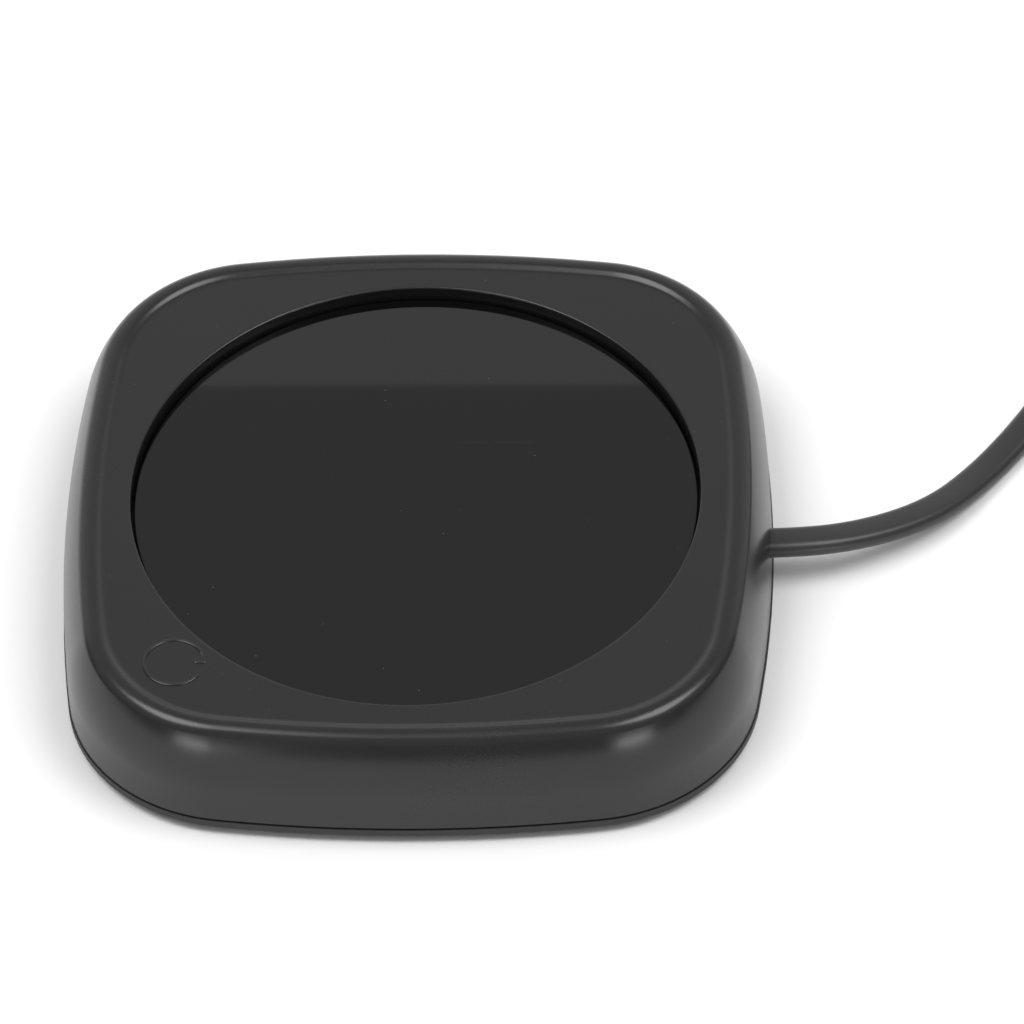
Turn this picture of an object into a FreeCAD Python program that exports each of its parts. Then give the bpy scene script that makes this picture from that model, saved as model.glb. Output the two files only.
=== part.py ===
import FreeCAD, Part
import math
import os
import Sketcher
from FreeCAD import Placement, Rotation, Vector

# Electric mug warmer with a plate that sinks a little under a mug and closes a switch.
# Millimetres, +Z up, +X towards the side that the power cord leaves, -Y towards the user.
# The origin is the centre of the underside, at the foot of the four rubber feet.

SIZES = [
    # Housing outline: a square with bowed sides and large corners, measured at the bottom cover's edge.
    ("body_width", 130.0),
    ("corner_radius", 32.3),
    ("side_bow_radius", 265.0),
    # Heights, from the ground up.
    ("foot_drop", 1.3),
    ("base_edge", 2.05),
    ("parting_gap", 0.15),
    ("wall_height", 19.3),
    ("crest_rise", 0.6),
    # Top cover.
    ("cover_wall", 2.0),
    ("cover_inset", 0.2),
    ("wall_draft", 0.2),
    ("shoulder_width", 8.5),
    ("shoulder_drop", 12.6),
    ("shoulder_top_radius", 3.0),
    ("deck_step", 2.0),
    ("crest_flat", 0.3),
    ("deck_lap", 1.5),
    ("deck_ledge", 4.5),
    ("well_depth", 2.7),
    ("well_wall", 1.8),
    ("rim_rounding", 0.35),
    # Screws that hold the covers together.
    ("screw_inset", 12.6),
    ("screw_y", 30.2),
    ("cover_boss_radius", 3.2),
    ("base_boss_radius", 4.4),
    ("base_boss_top", 7.0),
    ("boss_gap", 0.1),
    ("screw_radius", 1.4),
    ("screw_head_radius", 2.6),
    ("screw_head_height", 1.8),
    ("screw_length", 11.0),
    ("screw_floor", 4.4),
    ("fit_gap", 0.05),
    ("hole_gap", 0.25),
    # Bottom cover.
    ("tongue_gap", 0.15),
    ("tongue_wall", 1.4),
    ("tongue_height", 2.6),
    ("base_rounding", 0.8),
    ("foot_radius", 6.0),
    ("foot_inset", 21.0),
    ("foot_pocket_depth", 0.6),
    ("foot_rounding", 0.5),
    # Heating plate and what it carries.
    ("plate_gap", 0.4),
    ("glass_thickness", 2.8),
    ("glass_rounding", 0.4),
    ("glass_step", 0.3),
    ("stop_gap", 0.15),
    ("glass_overhang", 1.4),
    ("spreader_thickness", 1.2),
    ("film_margin", 2.5),
    ("film_thickness", 0.5),
    ("pad_thickness", 3.8),
    ("stack_gap", 0.5),
    ("tray_floor", 1.4),
    ("tray_ring_wall", 3.2),
    ("flange_reach", 2.6),
    ("flange_thickness", 1.6),
    ("seal_width", 1.4),
    ("seal_depth", 0.6),
    # Travel of the plate, its springs and guides.
    ("plate_travel", 1.0),
    ("post_gap", 0.6),
    ("guide_circle_inset", 14.0),
    ("guide_pin_radius", 2.0),
    ("guide_gap", 0.3),
    ("guide_wall", 1.4),
    ("spring_post_radius", 2.2),
    ("spring_radius", 3.2),
    ("spring_wire", 0.7),
    ("spring_seat_wall", 1.2),
    ("spring_seat_depth", 1.2),
    # Thermostat and thermal fuse in windows of the stack.
    ("thermostat_length", 19.0),
    ("thermostat_width", 8.0),
    ("thermostat_height", 3.4),
    ("thermostat_y", 21.0),
    ("fuse_radius", 1.9),
    ("fuse_length", 12.0),
    ("fuse_y", -21.0),
    ("window_gap", 0.7),
    # Snap-action switch in the middle.
    ("switch_length", 12.8),
    ("switch_width", 5.8),
    ("switch_height", 6.4),
    ("switch_pocket_depth", 0.85),
    ("touch_gap", 0.05),
    ("plunger_length", 2.8),
    ("plunger_width", 1.6),
    ("plunger_depth", 2.4),
    ("cradle_wall", 1.3),
    ("cradle_height", 4.4),
    ("terminal_length", 4.0),
    # Indicator under the power mark, on the front left corner.
    ("mark_reach", 7.4),
    ("board_shift", 1.0),
    ("guide_disc_radius", 5.2),
    ("guide_disc_height", 1.5),
    ("guide_disc_wall", 1.0),
    ("board_length", 18.0),
    ("board_width", 10.4),
    ("board_thickness", 1.2),
    ("board_level", 15.2),
    ("board_post_radius", 2.1),
    ("board_post_spacing", 13.6),
    ("board_screw_radius", 1.0),
    ("led_radius", 1.5),
    ("led_gap", 0.2),
    ("led_flange", 0.3),
    ("resistor_radius", 0.9),
    ("resistor_length", 3.2),
    # Power cord, flat with two cores, and its clamp.
    ("cord_width", 6.2),
    ("cord_thickness", 3.4),
    ("cord_level", 8.8),
    ("cord_slot_gap", 0.15),
    ("cord_tail", 4.2),
    ("clamp_inset", 6.3),
    ("clamp_length", 5.0),
    ("clamp_thickness", 1.8),
    ("clamp_post_radius", 2.4),
    ("clamp_post_y", 6.4),
    ("lead_radius", 0.8),
    ("thin_lead_radius", 0.6),
    ("splice_radius", 2.1),
    ("splice_length", 9.0),
    ("splice_x", 17.0),
    ("splice_y", 8.0),
    # Put-away coil and plug.
    ("coil_x", 159.0),
    ("coil_y", 79.5),
    ("coil_outer_radius", 37.0),
    ("coil_gap", 0.7),
    ("tie_thickness", 0.5),
    ("tie_width", 9.0),
    ("tie_slack", 0.3),
    ("plug_length", 30.0),
    ("plug_width", 24.0),
    ("plug_height", 17.0),
    ("plug_nose_width", 9.5),
    ("plug_nose_height", 8.0),
    ("blade_spacing", 12.7),
    ("blade_width", 6.35),
    ("blade_thickness", 1.5),
    ("blade_length", 16.5),
]

COIL_TURNS_EACH_WAY = 2.5
SPRING_TURNS = 5
GUIDES = 3
ARC_SHARE = 0.45

doc = FreeCAD.newDocument("MugWarmer")
sheet = doc.addObject("Spreadsheet::Sheet", "Sizes")


class Size:
    """A length known as a number and as the expression on the sheet that gives it."""

    def __init__(self, value, text):
        self.value = value
        self.text = text

    def __add__(self, other):
        other = as_size(other)
        return Size(self.value + other.value, "(%s + %s)" % (self.text, other.text))

    def __radd__(self, other):
        return as_size(other) + self

    def __sub__(self, other):
        other = as_size(other)
        return Size(self.value - other.value, "(%s - %s)" % (self.text, other.text))

    def __rsub__(self, other):
        return as_size(other) - self

    def __mul__(self, other):
        other = as_size(other)
        return Size(self.value * other.value, "(%s * %s)" % (self.text, other.text))

    def __rmul__(self, other):
        return as_size(other) * self

    def __truediv__(self, other):
        other = as_size(other)
        return Size(self.value / other.value, "(%s / %s)" % (self.text, other.text))

    def __neg__(self):
        return self * -1

    def root(self):
        return Size(math.sqrt(self.value), "sqrt(%s)" % self.text)


def as_size(number):
    """A plain number as a Size."""
    return number if isinstance(number, Size) else Size(float(number), repr(float(number)))


def fill_sheet():
    """Writes each driving dimension and its alias, and returns the sizes by name."""
    named = {}
    for row, (alias, value) in enumerate(SIZES, start=1):
        sheet.set("A%d" % row, alias.replace("_", " "))
        sheet.set("B%d" % row, str(value))
        sheet.setAlias("B%d" % row, alias)
        named[alias] = Size(value, "Sizes." + alias)
    doc.recompute()
    return named


S = fill_sheet()
parts = {}

# Places and radii that follow from the housing's width.
S["well_radius"] = S["body_width"] / 2 - S["shoulder_width"] - S["deck_ledge"]
S["screw_x"] = S["body_width"] / 2 - S["screw_inset"]
S["foot_place"] = S["body_width"] / 2 - S["foot_inset"]
S["clamp_x"] = S["body_width"] / 2 - S["clamp_inset"]
S["cord_end_x"] = S["clamp_x"] - S["cord_tail"]
S["guide_circle_radius"] = S["well_radius"] - S["guide_circle_inset"]
S["mark_place"] = (S["well_radius"] + S["mark_reach"]) * math.sqrt(0.5)

# Levels and radii that several pieces share.
floor_top = S["foot_drop"] + S["base_edge"]
wall_foot = floor_top + S["parting_gap"]
deck_top = wall_foot + S["wall_height"]
deck_under = deck_top - S["cover_wall"]
crest_top = deck_top + S["crest_rise"]
plate_top = deck_top - S["well_depth"]
glass_under = plate_top - S["glass_thickness"]
spreader_under = glass_under - S["spreader_thickness"]
film_under = spreader_under - S["film_thickness"]
pad_under = film_under - S["pad_thickness"]
tray_under = pad_under - S["tray_floor"]
flange_top = glass_under - S["glass_step"]
well_foot = flange_top + S["stop_gap"]
post_top = tray_under - S["plate_travel"] - S["post_gap"]
glass_radius = S["well_radius"] - S["plate_gap"]
ring_outer_radius = glass_radius - S["glass_overhang"]
ring_inner_radius = ring_outer_radius - S["tray_ring_wall"]
spreader_radius = ring_inner_radius - S["stack_gap"]
flange_radius = S["well_radius"] + S["flange_reach"]


def bind(thing, path, size):
    """Ties one property of an object to the sheet."""
    thing.setExpression(path, as_size(size).text)


def keep(name, thing):
    """Gives a finished sub-part its label and puts it on the list of files to write."""
    thing.Label = name
    parts[name] = thing
    return thing


# Sketches

def new_body(name):
    return doc.addObject("PartDesign::Body", name + "_body")


def datum(body, role):
    return [feature for feature in body.Origin.OriginFeatures if feature.Role == role][0]


def new_sketch(body, name, plane="XY_Plane", level=None):
    """An empty sketch on one of the body's own planes, raised to a level along its normal."""
    sketch = body.newObject("Sketcher::SketchObject", name)
    sketch.AttachmentSupport = [(datum(body, plane), "")]
    sketch.MapMode = "FlatFace"
    if level is not None:
        bind(sketch, "AttachmentOffset.Base.z", level)
    return sketch


def hold(sketch, kind, geometry, *rest):
    """Adds a dimension whose last entry is a Size, and ties it to the sheet."""
    size = as_size(rest[-1])
    index = sketch.addConstraint(Sketcher.Constraint(kind, geometry, *rest[:-1], size.value))
    bind(sketch, "Constraints[%d]" % index, size)


def hold_point(sketch, geometry, end, x, y):
    hold(sketch, "DistanceX", -1, 1, geometry, end, x)
    hold(sketch, "DistanceY", -1, 1, geometry, end, y)


def circle(sketch, radius, x=0, y=0):
    x, y = as_size(x), as_size(y)
    centre = Vector(x.value, y.value, 0)
    index = sketch.addGeometry(Part.Circle(centre, Vector(0, 0, 1), as_size(radius).value), False)
    hold_point(sketch, index, 3, x, y)
    hold(sketch, "Radius", index, radius)


class Profile:
    """A closed run of lines and arcs whose corners are held by their distances from the origin."""

    def __init__(self, sketch, x, y):
        self.sketch = sketch
        self.first = (as_size(x), as_size(y))
        self.corner = self.first
        self.runs = []

    def add(self, curve, start, end, held=True):
        index = self.sketch.addGeometry(curve, False)
        if self.runs:
            last, last_end = self.runs[-1][0], self.runs[-1][2]
            self.sketch.addConstraint(Sketcher.Constraint("Coincident", last, last_end, index, start))
        if held:
            hold_point(self.sketch, index, start, *self.corner)
        self.runs.append((index, start, end))
        return index

    def line(self, x, y):
        x, y = as_size(x), as_size(y)
        begin = Vector(self.corner[0].value, self.corner[1].value, 0)
        self.add(Part.LineSegment(begin, Vector(x.value, y.value, 0)), 1, 2)
        self.corner = (x, y)
        return self

    def arc(self, x, y, radius, left):
        """An arc to (x, y) that bulges to the left of its way, or to the right."""
        x, y, radius = as_size(x), as_size(y), as_size(radius)
        begin = Vector(self.corner[0].value, self.corner[1].value, 0)
        end = Vector(x.value, y.value, 0)
        chord = end - begin
        sideways = Vector(-chord.y, chord.x, 0).normalize() * (1 if left else -1)
        half = chord.Length / 2
        rise = radius.value - math.sqrt(max(radius.value ** 2 - half ** 2, 0.0))
        self.add_arc(begin, begin + chord * 0.5 + sideways * rise, end, left)
        hold(self.sketch, "Radius", self.runs[-1][0], radius)
        self.corner = (x, y)
        return self

    def add_arc(self, begin, middle, end, left, held=True):
        """Adds the arc; a sketch stores it anticlockwise, so its ends swap when it bulges left."""
        curve = Part.Arc(begin, middle, end)
        return self.add(curve, 2 if left else 1, 1 if left else 2, held)

    def shoulder(self, x, y, radius):
        """Two tangent arcs from a level start down to an upright end at (x, y), the first of this radius."""
        x, y, radius = as_size(x), as_size(y), as_size(radius)
        x0, y0 = self.corner
        wide, drop = (x - x0).value, (y0 - y).value
        large = shoulder_side_radius(x - x0, y0 - y, radius).value
        top_centre = Vector(x0.value, y0.value - radius.value, 0)
        side_centre = Vector(x.value - large, y.value, 0)
        way = (top_centre - side_centre).normalize()
        meet = side_centre + way * large
        angle = math.atan2(way.y, way.x)
        first_mid = top_centre + polar(radius.value, (angle + math.pi / 2) / 2)
        second_mid = side_centre + polar(large, angle / 2)
        begin = Vector(x0.value, y0.value, 0)
        top = self.add_arc(begin, first_mid, meet, True)
        side = self.add_arc(meet, second_mid, Vector(x.value, y.value, 0), True, held=False)
        self.sketch.delConstraint(self.sketch.ConstraintCount - 1)
        self.sketch.addConstraint(Sketcher.Constraint("Tangent", top, 1, side, 2))
        self.sketch.addConstraint(Sketcher.Constraint("Vertical", top, 2, top, 3))
        self.sketch.addConstraint(Sketcher.Constraint("Horizontal", side, 1, side, 3))
        hold(self.sketch, "Radius", top, radius)
        self.corner = (x, y)
        return self

    def close(self):
        """Joins the last corner to the first."""
        if (self.corner[0].value, self.corner[1].value) != (self.first[0].value, self.first[1].value):
            self.line(*self.first)
        last, end = self.runs[-1][0], self.runs[-1][2]
        first, start = self.runs[0][0], self.runs[0][1]
        self.sketch.addConstraint(Sketcher.Constraint("Coincident", last, end, first, start))


def polar(radius, angle):
    return Vector(radius * math.cos(angle), radius * math.sin(angle), 0)


def shoulder_side_radius(wide, drop, radius):
    """The radius of the shoulder's second arc, from its width, its drop and its first radius."""
    return (wide * wide + drop * drop - 2 * drop * radius) / (2 * (wide - radius))


def rectangle(sketch, x_low, x_high, y_low, y_high):
    outline = Profile(sketch, x_low, y_low)
    outline.line(x_high, y_low).line(x_high, y_high).line(x_low, y_high).close()


def bowed_square(sketch, inset, halves=False):
    """The housing's outline, drawn in by an inset: four bowed sides and four corner arcs, all tangent."""
    inset = as_size(inset)
    half = S["body_width"] / 2 - inset
    corner = S["corner_radius"] - inset
    bow = S["side_bow_radius"] - inset
    back = bow - half
    # The corner's centre lies on the diagonal, where its arc runs into the bowed side.
    reach = (bow - corner).value
    place = (-back.value + math.sqrt(2 * reach ** 2 - back.value ** 2)) / 2
    turn = math.atan2(place, place + back.value)
    arcs = []
    for side in range(4):
        across = side * math.pi / 2
        side_centre = polar(-back.value, across)
        corner_centre = polar(place * math.sqrt(2), across + math.pi / 4)
        spans = [(-turn, 0), (0, turn)] if halves else [(-turn, turn)]
        for low, high in spans:
            index = add_centred_arc(sketch, side_centre, bow.value, across + low, across + high)
            hold_point(sketch, index, 3, *on_axis(-back, side))
            hold(sketch, "Radius", index, bow)
            arcs.append(index)
            for end, angle in ((1, low), (2, high)):
                if angle == 0:
                    axis = -1 if side % 2 == 0 else -2
                    sketch.addConstraint(Sketcher.Constraint("PointOnObject", index, end, axis))
        low, high = across + turn, across + math.pi / 2 - turn
        index = add_centred_arc(sketch, corner_centre, corner.value, low, high)
        hold(sketch, "Radius", index, corner)
        arcs.append(index)
    for number, index in enumerate(arcs):
        after = arcs[(number + 1) % len(arcs)]
        middle_joint = halves and number % 3 == 0
        if not middle_joint:
            sketch.addConstraint(Sketcher.Constraint("Tangent", index, 2, after, 1))


def on_axis(distance, side):
    """A point at this distance along +X, +Y, -X or -Y."""
    return [(distance, 0), (0, distance), (-distance, 0), (0, -distance)][side]


def add_centred_arc(sketch, centre, radius, low, high):
    whole = Part.Circle(centre, Vector(0, 0, 1), radius)
    return sketch.addGeometry(Part.ArcOfCircle(whole, low, high), False)


# Features

def feature(body, kind, name, sketch, length, downwards=False):
    made = body.newObject("PartDesign::" + kind, name)
    made.Profile = sketch
    bind(made, "Length", length)
    made.Reversed = downwards
    sketch.Visibility = False
    return made


def pad(body, name, sketch, length, downwards=False):
    return feature(body, "Pad", name, sketch, length, downwards)


def pocket(body, name, sketch, length, upwards=False):
    """Cuts from the sketch's plane against its normal, or along it; a cut that takes nothing is an error."""
    doc.recompute()
    before = body.Shape.Volume
    made = feature(body, "Pocket", name, sketch, length, upwards)
    doc.recompute()
    if not body.Shape.Volume < before - 1e-6:
        raise ValueError("%s cuts nothing" % name)
    return made


def revolve(body, name, sketch):
    made = body.newObject("PartDesign::Revolution", name)
    made.Profile = sketch
    made.ReferenceAxis = (sketch, ["V_Axis"])
    made.Angle = 360
    return made


def pattern_round(body, name, originals, count):
    made = body.newObject("PartDesign::PolarPattern", name)
    made.Originals = originals
    made.Axis = (datum(body, "Z_Axis"), [""])
    made.Angle = 360
    made.Occurrences = count
    body.Tip = made
    return made


# Plain solids

def box(name, x_low, x_high, y_low, y_high, z_low, z_high):
    made = doc.addObject("Part::Box", name)
    for path, size in (
        ("Length", x_high - x_low),
        ("Width", y_high - y_low),
        ("Height", z_high - z_low),
        ("Placement.Base.x", x_low),
        ("Placement.Base.y", y_low),
        ("Placement.Base.z", z_low),
    ):
        bind(made, path, size)
    return made


def cylinder(name, radius, height, x, y, z, turn=None):
    made = doc.addObject("Part::Cylinder", name)
    if turn is not None:
        made.Placement = Placement(Vector(0, 0, 0), turn)
    for path, size in (
        ("Radius", radius),
        ("Height", height),
        ("Placement.Base.x", x),
        ("Placement.Base.y", y),
        ("Placement.Base.z", z),
    ):
        bind(made, path, size)
    return made


def fuse(name, pieces):
    made = doc.addObject("Part::MultiFuse", name)
    made.Shapes = pieces
    made.Refine = True
    return made


def cut(name, base, tool):
    made = doc.addObject("Part::Cut", name)
    made.Base = base
    made.Tool = tool
    return made


def group(name, pieces):
    made = doc.addObject("Part::Compound", name)
    made.Links = pieces
    return made


def screw(name, x, y, seat, length, radius, head_radius, head_height, upwards):
    """A screw whose head bears on the seat level, with its shank pointing up or down from it."""
    way = 1 if upwards else -1
    head_z = seat - head_height if upwards else seat
    shank_z = seat if upwards else seat - length
    head = cylinder(name + "_head", head_radius, head_height, x, y, head_z)
    shank = cylinder(name + "_shank", radius, length, x, y, shank_z)
    whole = fuse(name, [head, shank])
    socket_z = head_z if upwards else seat + head_height * 0.5
    slot = cylinder(name + "_socket", radius * 0.8, head_height * 0.5, x, y, socket_z)
    return cut(name + "_cut", whole, slot)


HALF = [(1, 1), (-1, 1), (-1, -1), (1, -1)]
WARDS = {(1, 1): "rear_right", (-1, 1): "rear_left", (-1, -1): "front_left", (1, -1): "front_right"}


def diagonal(radius, angle):
    """A point on a circle as two sizes, for a fixed angle in degrees."""
    return radius * math.cos(math.radians(angle)), radius * math.sin(math.radians(angle))


# Top cover: shoulder and wall swept round the outline, deck, well and bosses.

def make_top_cover():
    body = new_body("top_cover")
    deck_half = S["body_width"] / 2 - S["shoulder_width"]
    path = new_sketch(body, "cover_path")
    bowed_square(path, S["shoulder_width"], halves=True)
    section = new_sketch(body, "cover_section", "XZ_Plane")
    draw_cover_section(section, deck_half)
    doc.recompute()
    sweep = body.newObject("PartDesign::AdditivePipe", "cover_shell")
    sweep.Profile = section
    sweep.Spine = (path, ["Edge%d" % (n + 1) for n in range(12)])
    sweep.Mode = "Standard"
    sweep.Transition = "Transformed"

    deck = new_sketch(body, "deck_outline", level=deck_top)
    bowed_square(deck, S["shoulder_width"] + S["deck_lap"])
    circle(deck, S["well_radius"] + S["well_wall"] / 2)
    pad(body, "deck", deck, S["cover_wall"], downwards=True)

    well = new_sketch(body, "well_section", "XZ_Plane")
    inner, outer, rounding = S["well_radius"], S["well_radius"] + S["well_wall"], S["rim_rounding"]
    edge = Profile(well, inner, well_foot)
    edge.line(outer, well_foot).line(outer, deck_top).line(inner + rounding, deck_top)
    edge.arc(inner, deck_top - rounding, rounding, left=False).close()
    revolve(body, "well", well)

    bosses = new_sketch(body, "cover_boss_outline", level=S["base_boss_top"] + S["boss_gap"])
    for x_way, y_way in HALF:
        circle(bosses, S["cover_boss_radius"], S["screw_x"] * x_way, S["screw_y"] * y_way)
    boss_height = deck_under - S["base_boss_top"] - S["boss_gap"] + S["cover_wall"] / 4
    pad(body, "cover_bosses", bosses, boss_height)
    pilots = new_sketch(body, "pilot_outline", level=S["base_boss_top"] + S["boss_gap"])
    for x_way, y_way in HALF:
        circle(pilots, S["screw_radius"] + S["fit_gap"], S["screw_x"] * x_way, S["screw_y"] * y_way)
    pocket(body, "pilot_holes", pilots, S["screw_length"], upwards=True)

    seat = new_sketch(body, "light_seat", level=deck_under)
    mark = -S["mark_place"]
    circle(seat, S["guide_disc_radius"] + S["fit_gap"] + S["guide_disc_wall"], mark, mark)
    circle(seat, S["guide_disc_radius"] + S["fit_gap"], mark, mark)
    pad(body, "light_ring", seat, S["guide_disc_height"], downwards=True)

    slot = new_sketch(body, "cord_slot_outline", "YZ_Plane", level=S["body_width"] / 2)
    draw_slot(slot, S["cord_width"], S["cord_thickness"], S["cord_slot_gap"])
    pocket(body, "cord_slot", slot, S["cover_wall"] * 2)
    return keep("top_cover", body)


def draw_cover_section(sketch, deck_half):
    """The shell's section through the middle of a side: step, crest, shoulder, wall and their inside."""
    step, rise = S["deck_step"], S["crest_rise"]
    bend = (step * step / 4 + rise * rise / 4) / rise
    crest_start = deck_half + step
    wall_x = S["body_width"] / 2 - S["cover_inset"]
    shoulder_x = wall_x - S["wall_draft"]
    shoulder_z = deck_top - S["shoulder_drop"]
    crest_end = crest_start + S["crest_flat"]
    large = shoulder_side_radius(shoulder_x - crest_end, crest_top - shoulder_z, S["shoulder_top_radius"])
    inner = large - S["cover_wall"]
    rise_inside = deck_under - shoulder_z
    inside_x = shoulder_x - large + (inner * inner - rise_inside * rise_inside).root()
    line = Profile(sketch, deck_half - S["deck_lap"], deck_top)
    line.line(deck_half, deck_top)
    line.arc(deck_half + step / 2, deck_top + rise / 2, bend, left=False)
    line.arc(crest_start, crest_top, bend, left=True)
    line.line(crest_end, crest_top)
    line.shoulder(shoulder_x, shoulder_z, S["shoulder_top_radius"])
    line.line(wall_x, wall_foot)
    line.line(wall_x - S["cover_wall"], wall_foot)
    line.line(shoulder_x - S["cover_wall"], shoulder_z)
    line.arc(inside_x, deck_under, inner, left=False)
    line.line(deck_half - S["deck_lap"], deck_under)
    line.close()


def draw_slot(sketch, width, height, gap):
    """A slot with round ends, level, at the cord's height on the middle of the side."""
    radius = height / 2 + gap
    reach = (width - height) / 2
    line = Profile(sketch, -reach, S["cord_level"] - radius)
    line.line(reach, S["cord_level"] - radius)
    line.arc(reach, S["cord_level"] + radius, radius, left=False)
    line.line(-reach, S["cord_level"] + radius)
    line.arc(-reach, S["cord_level"] - radius, radius, left=False)
    line.close()


# Bottom cover: floor with its edge, the tongue inside the wall, and all the posts.

def make_bottom_cover():
    body = new_body("bottom_cover")
    outline = new_sketch(body, "floor_outline", level=S["foot_drop"])
    bowed_square(outline, 0)
    pad(body, "floor", outline, S["base_edge"])
    doc.recompute()
    floor = body.Tip
    lowest = S["foot_drop"].value + 1e-3
    under = [n + 1 for n, edge in enumerate(floor.Shape.Edges) if edge.BoundBox.ZMax < lowest]
    rounding = body.newObject("PartDesign::Fillet", "edge_rounding")
    rounding.Base = (floor, ["Edge%d" % number for number in under])
    bind(rounding, "Radius", S["base_rounding"])

    tongue = new_sketch(body, "tongue_outline", level=floor_top)
    tongue_inset = S["cover_inset"] + S["cover_wall"] + S["tongue_gap"] + S["wall_draft"]
    bowed_square(tongue, tongue_inset)
    bowed_square(tongue, tongue_inset + S["tongue_wall"])
    pad(body, "tongue", tongue, S["tongue_height"])

    bosses = new_sketch(body, "base_boss_outline", level=floor_top)
    for x_way, y_way in HALF:
        circle(bosses, S["base_boss_radius"], S["screw_x"] * x_way, S["screw_y"] * y_way)
    pad(body, "base_bosses", bosses, S["base_boss_top"] - floor_top)
    wells = new_sketch(body, "screw_well_outline", level=S["foot_drop"])
    holes = new_sketch(body, "screw_hole_outline", level=S["foot_drop"])
    for x_way, y_way in HALF:
        x, y = S["screw_x"] * x_way, S["screw_y"] * y_way
        circle(wells, S["screw_head_radius"] + S["hole_gap"], x, y)
        circle(holes, S["screw_radius"] + S["hole_gap"], x, y)
    pocket(body, "screw_wells", wells, S["screw_floor"] - S["foot_drop"], upwards=True)
    pocket(body, "screw_holes", holes, S["base_boss_top"] - S["foot_drop"], upwards=True)

    seats = new_sketch(body, "foot_pocket_outline", level=S["foot_drop"])
    for x_way, y_way in HALF:
        radius = S["foot_radius"] + S["fit_gap"]
        circle(seats, radius, S["foot_place"] * x_way, S["foot_place"] * y_way)
    pocket(body, "foot_pockets", seats, S["foot_pocket_depth"], upwards=True)

    bay = new_sketch(body, "switch_pocket_outline", level=floor_top)
    half_length, half_width = S["switch_length"] / 2 + S["fit_gap"], S["switch_width"] / 2 + S["fit_gap"]
    rectangle(bay, -half_length, half_length, -half_width, half_width)
    pocket(body, "switch_pocket", bay, S["switch_pocket_depth"])
    cradle = new_sketch(body, "cradle_outline", level=floor_top)
    for way in (1, -1):
        near, far = half_width * way, (half_width + S["cradle_wall"]) * way
        rectangle(cradle, -half_length * 0.8, half_length * 0.8, near, far)
    pad(body, "cradle", cradle, S["cradle_height"])

    post_height = post_top - floor_top
    post = new_sketch(body, "spring_post_outline", level=floor_top)
    circle(post, S["spring_post_radius"], 0, S["guide_circle_radius"])
    spring_post = pad(body, "spring_post", post, post_height)
    sleeve = new_sketch(body, "guide_sleeve_outline", level=floor_top)
    sleeve_bore = S["guide_pin_radius"] + S["guide_gap"]
    circle(sleeve, sleeve_bore + S["guide_wall"], 0, -S["guide_circle_radius"])
    circle(sleeve, sleeve_bore, 0, -S["guide_circle_radius"])
    guide_sleeve = pad(body, "guide_sleeve", sleeve, post_height)
    pattern_round(body, "posts_and_sleeves", [spring_post, guide_sleeve], GUIDES)

    board_posts = new_sketch(body, "board_post_outline", level=floor_top)
    board_pilots = new_sketch(body, "board_pilot_outline", level=S["board_level"])
    for x, y in board_fixings():
        circle(board_posts, S["board_post_radius"], x, y)
        circle(board_pilots, S["board_screw_radius"] + S["fit_gap"], x, y)
    pad(body, "board_posts", board_posts, S["board_level"] - floor_top)
    pocket(body, "board_pilots", board_pilots, S["board_level"] * 0.4)

    clamp_posts = new_sketch(body, "clamp_post_outline", level=floor_top)
    clamp_pilots = new_sketch(body, "clamp_pilot_outline", level=clamp_seat())
    for way in (1, -1):
        circle(clamp_posts, S["clamp_post_radius"], S["clamp_x"], S["clamp_post_y"] * way)
        circle(clamp_pilots, S["board_screw_radius"] + S["fit_gap"], S["clamp_x"], S["clamp_post_y"] * way)
    pad(body, "clamp_posts", clamp_posts, clamp_seat() - floor_top)
    pocket(body, "clamp_pilots", clamp_pilots, (clamp_seat() - floor_top) * 0.8)
    saddle = new_sketch(body, "saddle_outline", level=floor_top)
    half = S["clamp_length"] / 2
    rectangle(saddle, S["clamp_x"] - half, S["clamp_x"] + half, -S["cord_width"] / 2, S["cord_width"] / 2)
    pad(body, "saddle", saddle, S["cord_level"] - S["cord_thickness"] / 2 - floor_top)
    return keep("bottom_cover", body)


def board_fixings():
    """The two fixings of the indicator board, either side of the corner's diagonal."""
    out = board_centre()
    along = S["board_post_spacing"] / 2 * math.sqrt(0.5)
    return [(out + along, out - along), (out - along, out + along)]


def board_centre():
    """The board's centre lies on the front left diagonal, just outside the power mark's centre."""
    return -S["mark_place"] - S["board_shift"] * math.sqrt(0.5)


def clamp_seat():
    """The top of the clamp's posts: level with the cord's upper side, less the bite of the clamp."""
    return S["cord_level"] + S["cord_thickness"] / 2


def make_feet():
    for place in HALF:
        name = "foot_" + WARDS[place]
        body = new_body(name)
        section = new_sketch(body, name + "_section", "XZ_Plane")
        top, radius, rounding = S["foot_drop"] + S["foot_pocket_depth"], S["foot_radius"], S["foot_rounding"]
        dish = S["foot_drop"] * 0.25
        line = Profile(section, 0, dish)
        line.line(radius * 0.55, dish).line(radius * 0.65, 0).line(radius - rounding, 0)
        line.arc(radius, rounding, rounding, left=False)
        line.line(radius, top).line(0, top).close()
        revolve(body, name + "_turned", section)
        bind(body, "Placement.Base.x", S["foot_place"] * place[0])
        bind(body, "Placement.Base.y", S["foot_place"] * place[1])
        keep(name, body)


def make_housing_screws():
    screws = []
    for place in HALF:
        name = "housing_screw_" + WARDS[place]
        x, y = S["screw_x"] * place[0], S["screw_y"] * place[1]
        screws.append(screw(
            name, x, y, S["screw_floor"], S["screw_length"], S["screw_radius"],
            S["screw_head_radius"], S["screw_head_height"], upwards=True,
        ))
    keep("housing_screws", group("housing_screw_set", screws))


# The plate and its stack

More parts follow.
